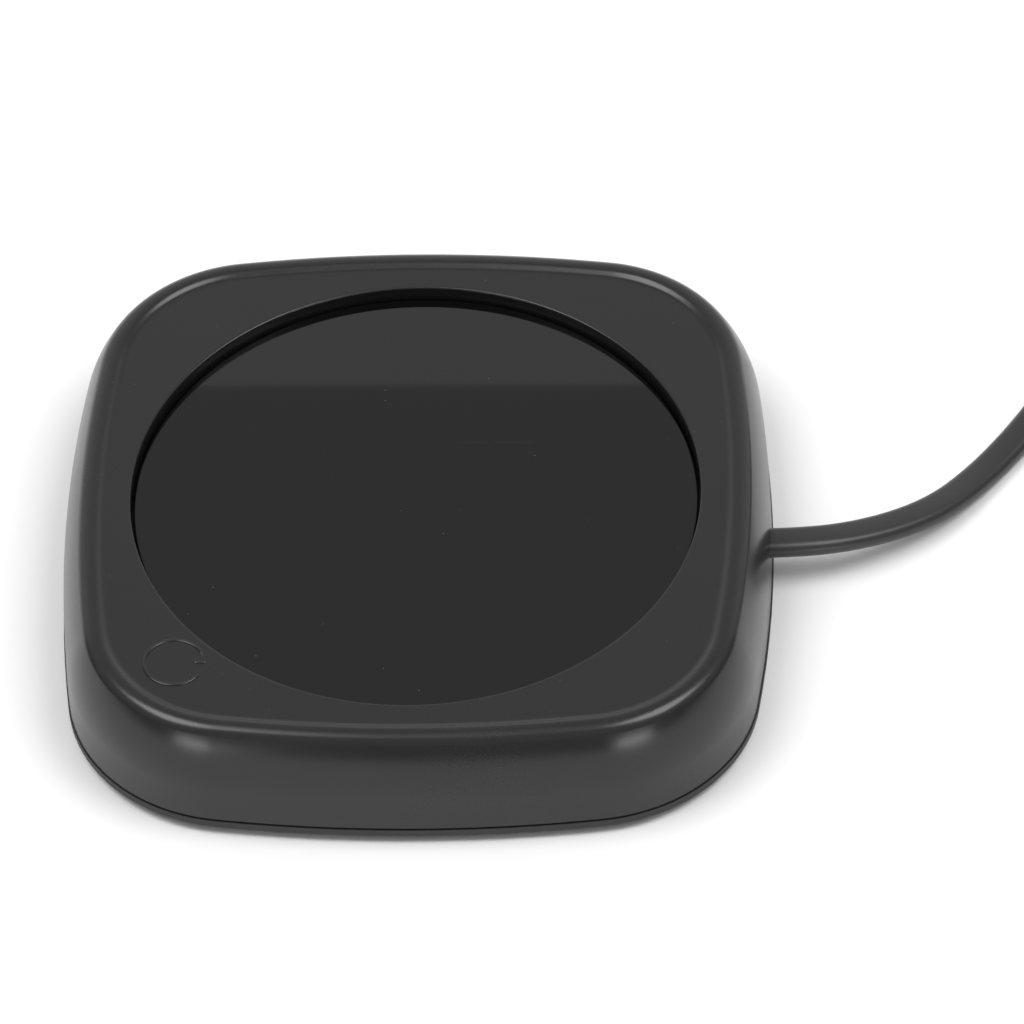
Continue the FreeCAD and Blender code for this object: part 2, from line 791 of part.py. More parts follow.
def make_turned(name, corners):
    """A solid of revolution about Z from the corners of its half section."""
    body = new_body(name)
    section = new_sketch(body, name + "_section", "XZ_Plane")
    line = Profile(section, *corners[0])
    for corner in corners[1:]:
        line.line(*corner)
    line.close()
    revolve(body, name + "_turned", section)
    return body


def make_heating_plate():
    body = new_body("heating_plate")
    section = new_sketch(body, "glass_section", "XZ_Plane")
    radius, rounding = glass_radius, S["glass_rounding"]
    line = Profile(section, 0, glass_under)
    line.line(radius - rounding / 2, glass_under).line(radius, glass_under + rounding / 2)
    line.line(radius, plate_top - rounding)
    line.arc(radius - rounding, plate_top, rounding, left=False)
    line.line(0, plate_top).close()
    revolve(body, "glass_turned", section)
    return keep("heating_plate", body)


def cut_windows(body, name, top):
    """The outline of the openings for the thermostat and the fuse, at a level."""
    openings = new_sketch(body, name + "_windows", level=top)
    gap = S["window_gap"]
    for length, width, y in (
        (S["thermostat_length"], S["thermostat_width"], S["thermostat_y"]),
        (S["fuse_length"], S["fuse_radius"] * 2, S["fuse_y"]),
    ):
        half_length, half_width = length / 2 + gap, width / 2 + gap
        rectangle(openings, -half_length, half_length, y - half_width, y + half_width)
    return openings


# Places where the two flexing leads pass up through the tray and the pad.
RISER_PLACES = [(-31.5, 0.9), (11.5, -7.1)]
RISER_HOLE = 2.2


def make_stack():
    spreader = make_turned("heat_spreader", [
        (0, spreader_under), (spreader_radius, spreader_under),
        (spreader_radius, glass_under), (0, glass_under),
    ])
    keep("heat_spreader", spreader)

    film_radius = spreader_radius - S["film_margin"]
    film = make_turned("heater_film", [
        (0, film_under), (film_radius, film_under), (film_radius, spreader_under), (0, spreader_under),
    ])
    pocket(film, "film_openings", cut_windows(film, "film", spreader_under), S["film_thickness"])
    keep("heater_film", film)

    wad = make_turned("insulation_pad", [
        (0, pad_under), (spreader_radius, pad_under), (spreader_radius, film_under), (0, film_under),
    ])
    openings = cut_windows(wad, "pad", film_under)
    for x, y in RISER_PLACES:
        circle(openings, RISER_HOLE, x, y)
    pocket(wad, "pad_openings", openings, S["pad_thickness"])
    keep("insulation_pad", wad)

    groove_low = ring_inner_radius + (S["tray_ring_wall"] - S["seal_width"]) / 2
    groove_high = groove_low + S["seal_width"]
    seal_floor = glass_under - S["seal_depth"]
    seal = make_turned("plate_seal", [
        (groove_low, seal_floor), (groove_high, seal_floor), (groove_high, glass_under), (groove_low, glass_under),
    ])
    keep("plate_seal", seal)


def make_plate_carrier():
    body = new_body("plate_carrier")
    section = new_sketch(body, "tray_section", "XZ_Plane")
    flange_under = flange_top - S["flange_thickness"]
    groove_low = ring_inner_radius + (S["tray_ring_wall"] - S["seal_width"]) / 2
    groove_high = groove_low + S["seal_width"]
    seal_floor = glass_under - S["seal_depth"]
    line = Profile(section, 0, tray_under)
    line.line(ring_outer_radius, tray_under).line(ring_outer_radius, flange_under)
    line.line(flange_radius, flange_under).line(flange_radius, flange_top).line(ring_outer_radius, flange_top)
    line.line(ring_outer_radius, glass_under).line(groove_high, glass_under).line(groove_high, seal_floor)
    line.line(groove_low, seal_floor).line(groove_low, glass_under).line(ring_inner_radius, glass_under)
    line.line(ring_inner_radius, pad_under).line(0, pad_under).close()
    revolve(body, "tray", section)
    openings = cut_windows(body, "tray", pad_under)
    for x, y in RISER_PLACES:
        circle(openings, RISER_HOLE, x, y)
    pocket(body, "tray_openings", openings, S["tray_floor"])

    seat = new_sketch(body, "spring_seat_outline", level=tray_under)
    seat_radius = S["spring_radius"] + S["spring_wire"] / 2 + S["guide_gap"]
    circle(seat, seat_radius + S["spring_seat_wall"], 0, S["guide_circle_radius"])
    circle(seat, seat_radius, 0, S["guide_circle_radius"])
    spring_seat = pad(body, "spring_seat", seat, S["spring_seat_depth"], downwards=True)
    pin = new_sketch(body, "guide_pin_outline", level=tray_under)
    circle(pin, S["guide_pin_radius"], 0, -S["guide_circle_radius"])
    pin_length = tray_under - floor_top - S["plate_travel"] - S["guide_gap"]
    guide_pin = pad(body, "guide_pin", pin, pin_length, downwards=True)
    pattern_round(body, "seats_and_pins", [spring_seat, guide_pin], GUIDES)
    return keep("plate_carrier", body)


def make_thermostat():
    """A flat bimetal thermostat pressed on the spreader, with a flanged metal case and two tags."""
    half_length, half_width = S["thermostat_length"] / 2, S["thermostat_width"] / 2
    y = S["thermostat_y"]
    low = spreader_under - S["thermostat_height"]
    case = box("thermostat_case", -half_length * 0.8, half_length * 0.8, y - half_width, y + half_width,
               low, spreader_under)
    tag_low = low + S["thermostat_height"] * 0.4
    tags = box("thermostat_tags", -half_length, half_length, y - half_width * 0.35, y + half_width * 0.35,
               tag_low, tag_low + 0.4)
    keep("thermostat", fuse("thermostat_whole", [case, tags]))


def make_thermal_fuse():
    turn = Rotation(Vector(0, 1, 0), 90)
    z = spreader_under - S["fuse_radius"]
    sleeve = cylinder("fuse_case", S["fuse_radius"], S["fuse_length"] * 0.7,
                      -S["fuse_length"] * 0.35, S["fuse_y"], z, turn)
    wire = cylinder("fuse_wire", S["fuse_radius"] * 0.2, S["fuse_length"],
                    -S["fuse_length"] / 2, S["fuse_y"], z, turn)
    keep("thermal_fuse", fuse("fuse_whole", [sleeve, wire]))


# Springs: open coils with ground ends, between the floor and the tray.

def make_springs():
    radius, wire = S["spring_radius"].value, S["spring_wire"].value
    bottom, top = floor_top.value, tray_under.value
    pitch = (top - bottom) / SPRING_TURNS
    helix = Part.makeHelix(pitch, top - bottom, radius)
    ring = Part.Wire(Part.Circle(Vector(radius, 0, 0), Vector(0, 1, 0), wire / 2).toShape())
    coil = Part.Wire(helix.Edges).makePipeShell([ring], True, True)
    coil.translate(Vector(0, 0, bottom))
    trim = Part.makeCylinder(radius + wire, top - bottom - 0.02, Vector(0, 0, bottom + 0.01))
    coil = coil.common(trim)
    for number in range(GUIDES):
        name = "return_spring_%d" % (number + 1)
        x, y = diagonal(S["guide_circle_radius"].value, 90 + number * 360 / GUIDES)
        made = doc.addObject("Part::Feature", name + "_wound")
        made.Shape = coil
        made.Placement = Placement(Vector(x, y, 0), Rotation())
        keep(name, made)


# Switch, in its pocket in the middle of the floor.

def make_switch():
    half_length, half_width = S["switch_length"] / 2, S["switch_width"] / 2
    low = floor_top - S["switch_pocket_depth"]
    high = low + S["switch_height"]
    case = box("switch_case", -half_length, half_length, -half_width, half_width, low, high)
    reach, side = S["plunger_length"] / 2 + S["fit_gap"], S["plunger_width"] / 2 + S["fit_gap"]
    chimney = box("switch_chimney", -reach, reach, -side, side, high - S["plunger_depth"], high + 1)
    keep("switch_body", cut("switch_hollow", case, chimney))

    reach, side = S["plunger_length"] / 2, S["plunger_width"] / 2
    foot = high - S["plunger_depth"] + S["plate_travel"] + S["touch_gap"]
    key = box("plunger_key", -reach, reach, -side, side, foot, tray_under - S["touch_gap"])
    keep("switch_plunger", key)

    blades = []
    for way in (1, -1):
        near, far = half_length, half_length + S["terminal_length"]
        ends = (near, far) if way == 1 else (-far, -near)
        blades.append(box("switch_blade_%d" % way, ends[0], ends[1], as_size(-1.2), as_size(1.2),
                          floor_top + 0.8, floor_top + 1.3))
    keep("switch_terminals", group("switch_blades", blades))


# Indicator board under the power mark.

def make_indicator():
    out = board_centre()
    slab = doc.addObject("Part::Box", "board_slab")
    for path, size in (
        ("Length", S["board_length"]), ("Width", S["board_width"]), ("Height", S["board_thickness"]),
    ):
        bind(slab, path, size)
    slab.Placement = Placement(Vector(0, 0, 0), Rotation(Vector(0, 0, 1), -45))
    # The slab starts at its own corner, half its length and width back from the board's centre.
    across, deep = S["board_length"] / 2 * math.sqrt(0.5), S["board_width"] / 2 * math.sqrt(0.5)
    bind(slab, "Placement.Base.x", out - across - deep)
    bind(slab, "Placement.Base.y", out + across - deep)
    bind(slab, "Placement.Base.z", S["board_level"])
    bores = [
        cylinder("board_bore_%d" % n, S["board_screw_radius"] + S["hole_gap"], S["board_thickness"], x, y,
                 S["board_level"])
        for n, (x, y) in enumerate(board_fixings())
    ]
    keep("circuit_board", cut("board_drilled", slab, fuse("board_bores", bores)))

    board_top = S["board_level"] + S["board_thickness"]
    mark = -S["mark_place"]
    body = new_body("indicator_led")
    section = new_sketch(body, "led_section", "XZ_Plane")
    radius, flange = S["led_radius"], S["led_flange"]
    height = deck_under - S["guide_disc_height"] - S["led_gap"] - board_top
    line = Profile(section, 0, board_top)
    line.line(radius + flange, board_top).line(radius + flange, board_top + flange * 2)
    line.line(radius, board_top + flange * 2)
    line.line(radius, board_top + height - radius)
    line.arc(0, board_top + height, radius, left=False)
    line.close()
    revolve(body, "led_turned", section)
    bind(body, "Placement.Base.x", mark)
    bind(body, "Placement.Base.y", mark)
    keep("indicator_led", body)

    along = (S["board_post_spacing"] / 4 - S["resistor_length"] / 2) * math.sqrt(0.5)
    across = S["board_width"] / 4 * math.sqrt(0.5)
    turn = Rotation(Vector(0, 0, 1), -45) * Rotation(Vector(0, 1, 0), 90)
    resistor = cylinder("resistor_case", S["resistor_radius"], S["resistor_length"], out + along - across,
                        out - along - across, board_top + S["resistor_radius"], turn)
    keep("board_resistor", resistor)

    screws = [
        screw("board_screw_%d" % n, x, y, board_top, S["board_thickness"] * 4, S["board_screw_radius"],
              S["board_screw_radius"] * 1.8, as_size(1.2), upwards=False)
        for n, (x, y) in enumerate(board_fixings())
    ]
    keep("board_screws", group("board_screw_set", screws))

    disc = cylinder("light_disc", S["guide_disc_radius"], S["guide_disc_height"], mark, mark,
                    deck_under - S["guide_disc_height"])
    keep("light_guide", disc)


def make_clamp():
    half = S["clamp_length"] / 2
    reach = S["clamp_post_y"] + S["clamp_post_radius"]
    seat = clamp_seat()
    bar = box("clamp_bar", S["clamp_x"] - half, S["clamp_x"] + half, -reach, reach, seat,
              seat + S["clamp_thickness"])
    bores = [
        cylinder("clamp_bore_%d" % way, S["board_screw_radius"] + S["hole_gap"], S["clamp_thickness"],
                 S["clamp_x"], S["clamp_post_y"] * way, seat)
        for way in (1, -1)
    ]
    keep("cord_clamp", cut("clamp_drilled", bar, fuse("clamp_bores", bores)))
    screws = [
        screw("clamp_screw_%d" % way, S["clamp_x"], S["clamp_post_y"] * way, seat + S["clamp_thickness"],
              S["clamp_thickness"] * 2.6, S["board_screw_radius"], S["board_screw_radius"] * 1.9, as_size(1.2),
              upwards=False)
        for way in (1, -1)
    ]
    keep("clamp_screws", group("clamp_screw_set", screws))


# Cords and leads

def route_wire(points):
    """Straight runs joined by tangent arcs as large as the runs allow, and the arcs' radii."""
    edges, radii = [], []
    begin = points[0]
    for before, corner, after in zip(points, points[1:], points[2:]):
        back, ahead = before - corner, after - corner
        turn = math.pi - back.getAngle(ahead)
        reach = ARC_SHARE * min(back.Length, ahead.Length)
        radius = reach / math.tan(turn / 2)
        radii.append(radius)
        start = corner + back.normalize() * reach
        end = corner + ahead.normalize() * reach
        to_centre = ((start + end) * 0.5 - corner).normalize()
        centre = corner + to_centre * math.hypot(radius, reach)
        middle = centre - to_centre * radius
        edges.append(Part.LineSegment(begin, start).toShape())
        edges.append(Part.Arc(start, middle, end).toShape())
        begin = end
    edges.append(Part.LineSegment(begin, points[-1]).toShape())
    return Part.Wire(edges), radii


def flat_section(centre, way, long_side):
    """The flat cord's section with round edges, square to its way, its long side along a given direction."""
    wide, thick = S["cord_width"].value, S["cord_thickness"].value
    short_side = way.cross(long_side).normalize()
    reach, radius = long_side * ((wide - thick) / 2), short_side * (thick / 2)
    tip = long_side * (wide / 2)
    a, b = centre + reach + radius, centre + reach - radius
    c, d = centre - reach - radius, centre - reach + radius
    return Part.Wire([
        Part.Arc(a, centre + tip, b).toShape(),
        Part.LineSegment(b, c).toShape(),
        Part.Arc(c, centre - tip, d).toShape(),
        Part.LineSegment(d, a).toShape(),
    ])


def sweep_flat(path, section, level):
    """A solid swept along a path, its section kept level or left to turn with the path."""
    shell = Part.BRepOffsetAPI.MakePipeShell(path)
    if level:
        shell.setBiNormalMode(Vector(0, 0, 1))
    shell.add(section)
    shell.build()
    shell.makeSolid()
    return shell.shape()


def flat_area():
    wide, thick = S["cord_width"].value, S["cord_thickness"].value
    return (wide - thick) * thick + math.pi * thick ** 2 / 4


def report_tube(name, solid, section_area, path, radii):
    print("%s: length %.1f, volume %.1f of %.1f, least radius %.1f" % (
        name, path.Length, solid.Volume, section_area * path.Length, min(radii)))
    print("  radii", " ".join("%.0f" % radius for radius in radii))


def flat_tube(name, points, long_side, level):
    path, radii = route_wire(points)
    section = flat_section(points[0], (points[1] - points[0]).normalize(), long_side)
    solid = sweep_flat(path, section, level)
    report_tube(name, solid, flat_area(), path, radii)
    keep_shape(name, solid)


def round_tube(name, points, radius):
    """A round wire along its route."""
    path, radii = route_wire(points)
    way = (points[1] - points[0]).normalize()
    ring = Part.Wire(Part.Circle(points[0], way, radius).toShape())
    solid = path.makePipeShell([ring], True, False)
    report_tube(name, solid, math.pi * radius ** 2, path, radii)
    return solid


def coil_floor():
    """The height of the coil's underside: the tie passes below it."""
    return S["tie_thickness"].value + 0.1


def cord_route():
    """From the clamp, out of the slot, down to the ground and on to the coil's left side."""
    level = S["cord_level"].value
    low = S["cord_thickness"].value / 2 + 0.05
    coil_start_x = S["coil_x"].value - S["coil_outer_radius"].value
    coil_start_z = coil_floor() + S["cord_width"].value / 2
    coil_y = S["coil_y"].value
    return [
        Vector(S["cord_end_x"].value, 0, level),
        Vector(69.5, 0.0, level),
        Vector(83.0, 5.1, level - 2.7),
        Vector(94.5, 12.6, level - 4.9),
        Vector(103.0, 23.0, low + 0.2),
        Vector(111.0, 34.5, low),
        Vector(117.0, 45.0, low + 0.2),
        Vector(121.0, 54.5, low + 0.9),
        Vector(coil_start_x, coil_y - S["cord_width"].value - 9.8, coil_start_z),
        Vector(coil_start_x, coil_y - S["cord_width"].value, coil_start_z),
    ]


def plug_route():
    """From the coil's right side back towards the user, down into the plug."""
    x = S["coil_x"].value + S["coil_outer_radius"].value
    y = S["coil_y"].value - S["cord_width"].value
    top = coil_floor() + S["cord_width"].value * 1.5 + S["coil_gap"].value
    plug_level = S["plug_height"].value / 2
    return [
        Vector(x, y, top),
        Vector(x, y - 9.0, top),
        Vector(x, y - 19.0, plug_level),
        Vector(x, y - 27.0, plug_level),
    ]


def biarc(begin, begin_way, end, end_way):
    """Two tangent arcs between two points with given directions."""
    chord = end - begin
    both = begin_way + end_way
    slope = chord.dot(both)
    spread = 2 * (1 - begin_way.dot(end_way))
    reach = (-slope + math.sqrt(slope ** 2 + spread * chord.dot(chord))) / spread
    meet = (begin + end + (begin_way - end_way) * reach) * 0.5
    return [arc_from(begin, begin_way, meet), arc_from(end, end_way * -1, meet)]


def arc_from(begin, way, end):
    """The arc that leaves a point in a given direction and ends at another."""
    chord = end - begin
    along = Vector(chord).normalize()
    aside = (way - along * way.dot(along)).normalize()
    bulge = math.tan(way.getAngle(chord) / 2) * chord.Length / 2
    return Part.Arc(begin, begin + chord * 0.5 + aside * bulge, end)


def coil_stations():
    """Points and directions along the coil, a quarter turn apart: in below, up, and out again above."""
    centre = Vector(S["coil_x"].value, S["coil_y"].value, 0)
    pitch = S["cord_thickness"].value + S["coil_gap"].value
    low = coil_floor() + S["cord_width"].value / 2
    climb = S["cord_width"].value + S["coil_gap"].value
    quarters_in = round(COIL_TURNS_EACH_WAY * 4)
    quarters = quarters_in * 2 + 2
    stations = []
    for number in range(quarters + 1):
        inwards = min(number, quarters_in + 1) - max(0, number - quarters_in - 1)
        radius = S["coil_outer_radius"].value - pitch * inwards / 4
        height = low + climb * min(max((number - quarters_in) / 2, 0), 1)
        angle = math.pi - number * math.pi / 2
        outward = polar(1, angle)
        forward = Vector(outward.y, -outward.x, 0)
        drift = 0
        if 0 < number < quarters and number != quarters_in + 1:
            drift = -1 if number <= quarters_in else 1
        rising = 2 * climb / math.pi / radius if number == quarters_in + 1 else 0
        way = forward + outward * (drift * pitch / (2 * math.pi * radius)) + Vector(0, 0, rising)
        stations.append((centre + outward * radius + Vector(0, 0, height), way.normalize()))
    return stations


def make_coil():
    """The coil as one tube, its wide side upright where it starts. Returns points on it and their way upwards."""
    wide = S["cord_width"].value
    stations = coil_stations()
    edges = []
    for (begin, begin_way), (end, end_way) in zip(stations, stations[1:]):
        edges += [curve.toShape() for curve in biarc(begin, begin_way, end, end_way)]
    start, end = stations[0], stations[-1]
    lead_in = Part.LineSegment(start[0] - start[1] * wide, start[0]).toShape()
    lead_out = Part.LineSegment(end[0], end[0] + end[1] * wide).toShape()
    path = Part.Wire(Part.__sortEdges__([lead_in] + edges + [lead_out]))
    section = flat_section(start[0] - start[1] * wide, start[1], Vector(0, 0, 1))
    solid = sweep_flat(path, section, level=False)
    print("cord_coil: length %.1f, volume %.1f of %.1f" % (path.Length, solid.Volume, flat_area() * path.Length))
    points, ups = carried_up(path)
    print("  least gap between turns %.2f" % least_gap(points, ups))
    keep_shape("cord_coil", solid)
    return points, ups


def carried_up(path):
    """Points a millimetre apart along a path, and the direction that starts upright and turns with it."""
    points = path.discretize(Distance=1.0)
    ways = [(after - before).normalize() for before, after in zip(points, points[1:])]
    up, ups = Vector(0, 0, 1), []
    for way in ways:
        up = (up - way * up.dot(way)).normalize()
        ups.append(up)
    return points[:-1], ups


def least_gap(points, ups):
    """The least distance between the surfaces of two turns, from the cores' edges and middles at each point."""
    thick = S["cord_thickness"].value
    half_core = (S["cord_width"].value - thick) / 2
    apart = round(12 * thick)
    near = S["cord_width"].value + thick
    cores = [[point + up * (half_core * way) for way in (-1, 0, 1)] for point, up in zip(points, ups)]
    least = near
    for n, first in enumerate(points):
        for m in range(n + apart, len(points)):
            if (points[m] - first).Length < near:
                least = min(least, min((a - b).Length for a in cores[n] for b in cores[m]))
    return least - thick


def turns_reach(points, ups, half_width):
    """The least and most distance in front of the coil's centre that its turns take up under the tie."""
    thick = S["cord_thickness"].value
    half_core = (S["cord_width"].value - thick) / 2
    reach = []
    for point, up in zip(points, ups):
        in_front = S["coil_y"].value - point.y
        if in_front > 0 and abs(point.x - S["coil_x"].value) < half_width + 1:
            half = half_core * abs(up.y) + thick / 2
            reach += [in_front - half, in_front + half]
    return min(reach), max(reach)


def make_tie(points, ups):
    """A strap round the coil's turns on its near side, three quarters of a turn after its start."""
    strap, slack = S["tie_thickness"].value, S["tie_slack"].value
    half = S["tie_width"].value / 2
    least, most = turns_reach(points, ups, half)
    near, far = most + slack, least - slack
    high = coil_floor() + 2 * S["cord_width"].value + S["coil_gap"].value + slack
    x, y = S["coil_x"].value - half, S["coil_y"].value - near
    block = Part.makeBox(half * 2, near - far + 2 * strap, high + strap, Vector(x, y - strap, 0))
    bore = Part.makeBox(half * 2, near - far, high - strap, Vector(x, y, strap))
    keep_shape("cord_tie", block.cut(bore))


def make_plug():
    """A moulded two-blade plug that points towards the user, with a waisted grip."""
    body = new_body("plug_body")
    sections = []
    length = S["plug_length"]
    for number, (share, wide, tall) in enumerate((
        (0.0, S["plug_nose_width"], S["plug_nose_height"]),
        (0.4, S["plug_nose_width"] * 1.35, S["plug_nose_height"] * 1.3),
        (0.68, S["plug_width"] * 0.94, S["plug_height"] * 0.9),
        (1.0, S["plug_width"], S["plug_height"]),
    )):
        outline = new_sketch(body, "plug_section_%d" % number, level=length * share)
        rounded_rectangle(outline, wide, tall, tall * 0.3)
        sections.append(outline)
    doc.recompute()
    loft = body.newObject("PartDesign::AdditiveLoft", "plug_grip")
    loft.Profile = sections[0]
    loft.Sections = sections[1:]
    loft.Ruled = False
    body.Placement = Placement(Vector(0, 0, 0), Rotation(Vector(1, 0, 0), 90))
    end = plug_route()[-1]
    body.Placement.Base = end
    bind(body, "Placement.Base.z", S["plug_height"] / 2)
    keep("plug_body", body)

    blades = []
    half_thick = S["blade_thickness"] / 2
    front = as_size(end.y) - length
    x = as_size(end.x)
    for way in (1, -1):
        middle = x + S["blade_spacing"] / 2 * way
        blades.append(box("plug_blade_%d" % way, middle - half_thick, middle + half_thick,
                          front - S["blade_length"], front,
                          S["plug_height"] / 2 - S["blade_width"] / 2, S["plug_height"] / 2 + S["blade_width"] / 2))
    keep("plug_blades", group("plug_blade_pair", blades))


def rounded_rectangle(sketch, wide, tall, rounding):
    x, y = wide / 2, tall / 2
    line = Profile(sketch, -x + rounding, -y)
    line.line(x - rounding, -y).arc(x, -y + rounding, rounding, left=False)
    line.line(x, y - rounding).arc(x - rounding, y, rounding, left=False)
    line.line(-x + rounding, y).arc(-x, y - rounding, rounding, left=False)
    line.line(-x, -y + rounding).arc(-x + rounding, -y, rounding, left=False)
    line.close()


def keep_shape(name, shape):
    """Keeps a swept or cut shape as a sub-part of its own."""
    made = doc.addObject("Part::Feature", name + "_shape")
    made.Shape = shape
    keep(name, made)


def make_leads():
    """Two leads from the cord, a splice on each, two risers to the moving film and two thin leads to the board."""
    radius, thin = S["lead_radius"].value, S["thin_lead_radius"].value
    level, bed = S["cord_level"].value, floor_top.value + radius + 0.05
    end_x = S["cord_end_x"].value
    tip = S["switch_length"].value / 2 + S["terminal_length"].value
    blade_z = floor_top.value + 1.05
    splice_z = floor_top.value + S["splice_radius"].value + 0.05
    near, far = S["splice_x"].value, (S["splice_x"] + S["splice_length"]).value
    side = S["splice_y"].value
    apart = (S["splice_radius"] - S["lead_radius"]).value * 0.7

    keep_shape("live_lead", round_tube("live_lead", [
        Vector(end_x, 1.3, level), Vector(end_x - 3.0, 1.3, level), Vector(end_x - 6.5, 3.0, bed + 1.0),
        Vector(end_x - 13.0, 4.5, bed), Vector(30.0, 4.0, bed), Vector(tip + 5.0, 0.0, blade_z),
        Vector(tip, 0.0, blade_z),
    ], radius))
    keep_shape("neutral_lead", round_tube("neutral_lead", [
        Vector(end_x, -1.3, level), Vector(end_x - 3.0, -1.3, level), Vector(end_x - 6.5, -3.0, bed + 1.0),
        Vector(end_x - 13.0, -5.5, bed), Vector(far + 5.0, -side, splice_z), Vector(far, -side, splice_z),
    ], radius))
    keep_shape("switch_lead", round_tube("switch_lead", [
        Vector(-tip, 0.0, blade_z), Vector(-tip - 2.2, 0.0, blade_z), Vector(-near + 2.2, 0.0, splice_z),
        Vector(-near, 0.0, splice_z),
    ], radius))

    turn = Rotation(Vector(0, 1, 0), 90)
    splices = [
        cylinder("splice_live", S["splice_radius"], S["splice_length"], as_size(-far), 0,
                 floor_top + S["splice_radius"] + 0.05, turn),
        cylinder("splice_neutral", S["splice_radius"], S["splice_length"], S["splice_x"], -S["splice_y"],
                 floor_top + S["splice_radius"] + 0.05, turn),
    ]
    keep("lead_splices", group("splice_pair", splices))

    top = film_under.value
    for name, start_x, y, place in (
        ("live_riser", -far, apart, RISER_PLACES[0]),
        ("neutral_riser", near, -side + apart, RISER_PLACES[1]),
    ):
        keep_shape(name, round_tube(name, [
            Vector(start_x, y, splice_z), Vector(place[0], y, splice_z), Vector(place[0], place[1], top),
        ], radius))

    thin_bed = floor_top.value + thin + 0.05
    under = S["board_level"].value
    board_ends = [Vector(-43.6, -43.0, under), Vector(-41.4, -45.2, under)]
    live = [
        Vector(-far, -apart, splice_z), Vector(-far - 2.6, -apart, splice_z), Vector(-30.2, -4.4, thin_bed + 0.4),
        Vector(-28.4, -11.0, thin_bed), Vector(-26.5, -22.0, thin_bed), Vector(-36.2, -36.4, thin_bed),
    ]
    neutral = [
        Vector(near, -side - apart, splice_z), Vector(near - 3.0, -side - apart, splice_z),
        Vector(near - 7.0, -side - 2.6, thin_bed), Vector(0.0, -12.0, thin_bed), Vector(-14.0, -16.0, thin_bed),
        Vector(-25.0, -25.6, thin_bed), Vector(-34.6, -38.6, thin_bed),
    ]
    thin_leads = []
    for name, start, end in (("board_live", live, board_ends[0]), ("board_neutral", neutral, board_ends[1])):
        rise = [Vector(end.x, end.y, thin_bed + 2.0), end]
        thin_leads.append(round_tube(name, start + rise, thin))
    keep_shape("board_leads", Part.makeCompound(thin_leads))


def write_parts():
    """Checks every object and every sub-part, and only then writes the files."""
    doc.recompute()
    for thing in doc.Objects:
        if "Invalid" in thing.State or "Error" in thing.State:
            raise ValueError("%s failed: %s" % (thing.Label, thing.State))
    for name, thing in parts.items():
        if thing.Shape.isNull() or not thing.Shape.isValid() or not thing.Shape.Solids:
            raise ValueError("%s has no valid solid" % name)
    os.makedirs("parts", exist_ok=True)
    for name, thing in parts.items():
        thing.Shape.exportStep(os.path.join("parts", name + ".step"))
    print("%d sub-parts written" % len(parts))


make_top_cover()
make_bottom_cover()
make_feet()
make_housing_screws()
make_heating_plate()
make_stack()
make_plate_carrier()
make_thermostat()
make_thermal_fuse()
make_springs()
make_switch()
make_indicator()
make_clamp()
make_leads()
flat_tube("power_cord", cord_route(), Vector(0, 1, 0), level=True)
coil_points, coil_ups = make_coil()
flat_tube("plug_lead", plug_route(), coil_ups[-1], level=False)
make_tie(coil_points, coil_ups)
make_plug()
write_parts()
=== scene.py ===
import math

import bmesh
import bpy
from bpy.props import FloatProperty, FloatVectorProperty, IntProperty, PointerProperty
from mathutils import Matrix, Vector


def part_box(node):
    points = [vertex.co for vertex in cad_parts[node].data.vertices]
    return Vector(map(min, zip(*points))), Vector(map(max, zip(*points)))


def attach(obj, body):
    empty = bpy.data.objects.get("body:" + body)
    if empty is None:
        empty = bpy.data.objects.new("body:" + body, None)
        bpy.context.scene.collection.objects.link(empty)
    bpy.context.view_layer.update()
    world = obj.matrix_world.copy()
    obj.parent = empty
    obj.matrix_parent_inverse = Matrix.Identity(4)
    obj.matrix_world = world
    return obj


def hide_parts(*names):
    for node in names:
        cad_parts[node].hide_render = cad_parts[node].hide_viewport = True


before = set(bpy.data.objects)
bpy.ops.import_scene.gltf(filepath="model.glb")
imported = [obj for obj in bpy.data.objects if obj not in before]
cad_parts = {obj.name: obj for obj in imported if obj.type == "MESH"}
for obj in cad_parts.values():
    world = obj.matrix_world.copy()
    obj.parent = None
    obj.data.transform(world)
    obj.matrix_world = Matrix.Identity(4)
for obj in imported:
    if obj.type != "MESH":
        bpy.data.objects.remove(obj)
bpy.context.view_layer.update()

bl_info = {
    "name": "Mug warmer looks",
    "version": (1, 0, 0),
    "blender": (4, 5, 0),
    "location": "3D View > Sidebar > Mug warmer",
    "description": "Builds the visible pieces, the materials and the stage of an electric mug warmer",
    "category": "Object",
}

MM = 0.001
HOUSING = "housing"
PLATE = "plate"

# Where the cord leaves the housing, and the slot's clearance round it.
CORD_LEVEL = 8.8 * MM
SLOT_GAP = 0.15 * MM

# The cover's four screw bosses: places, sizes and the height where they start.
BOSS_X, BOSS_Y = 52.4 * MM, 30.2 * MM
BOSS_RADIUS, BOSS_BORE, BOSS_FOOT = 3.2 * MM, 1.5 * MM, 7.1 * MM


# Settings

def metres(name, description, default):
    """A length in metres, shown in the sidebar."""
    return FloatProperty(name=name, description=description, default=default, subtype="DISTANCE")


def numbers(name, description, default, subtype="XYZ"):
    """A place or a colour, shown in the sidebar."""
    return FloatVectorProperty(name=name, description=description, default=default, size=len(default),
                               subtype=subtype)


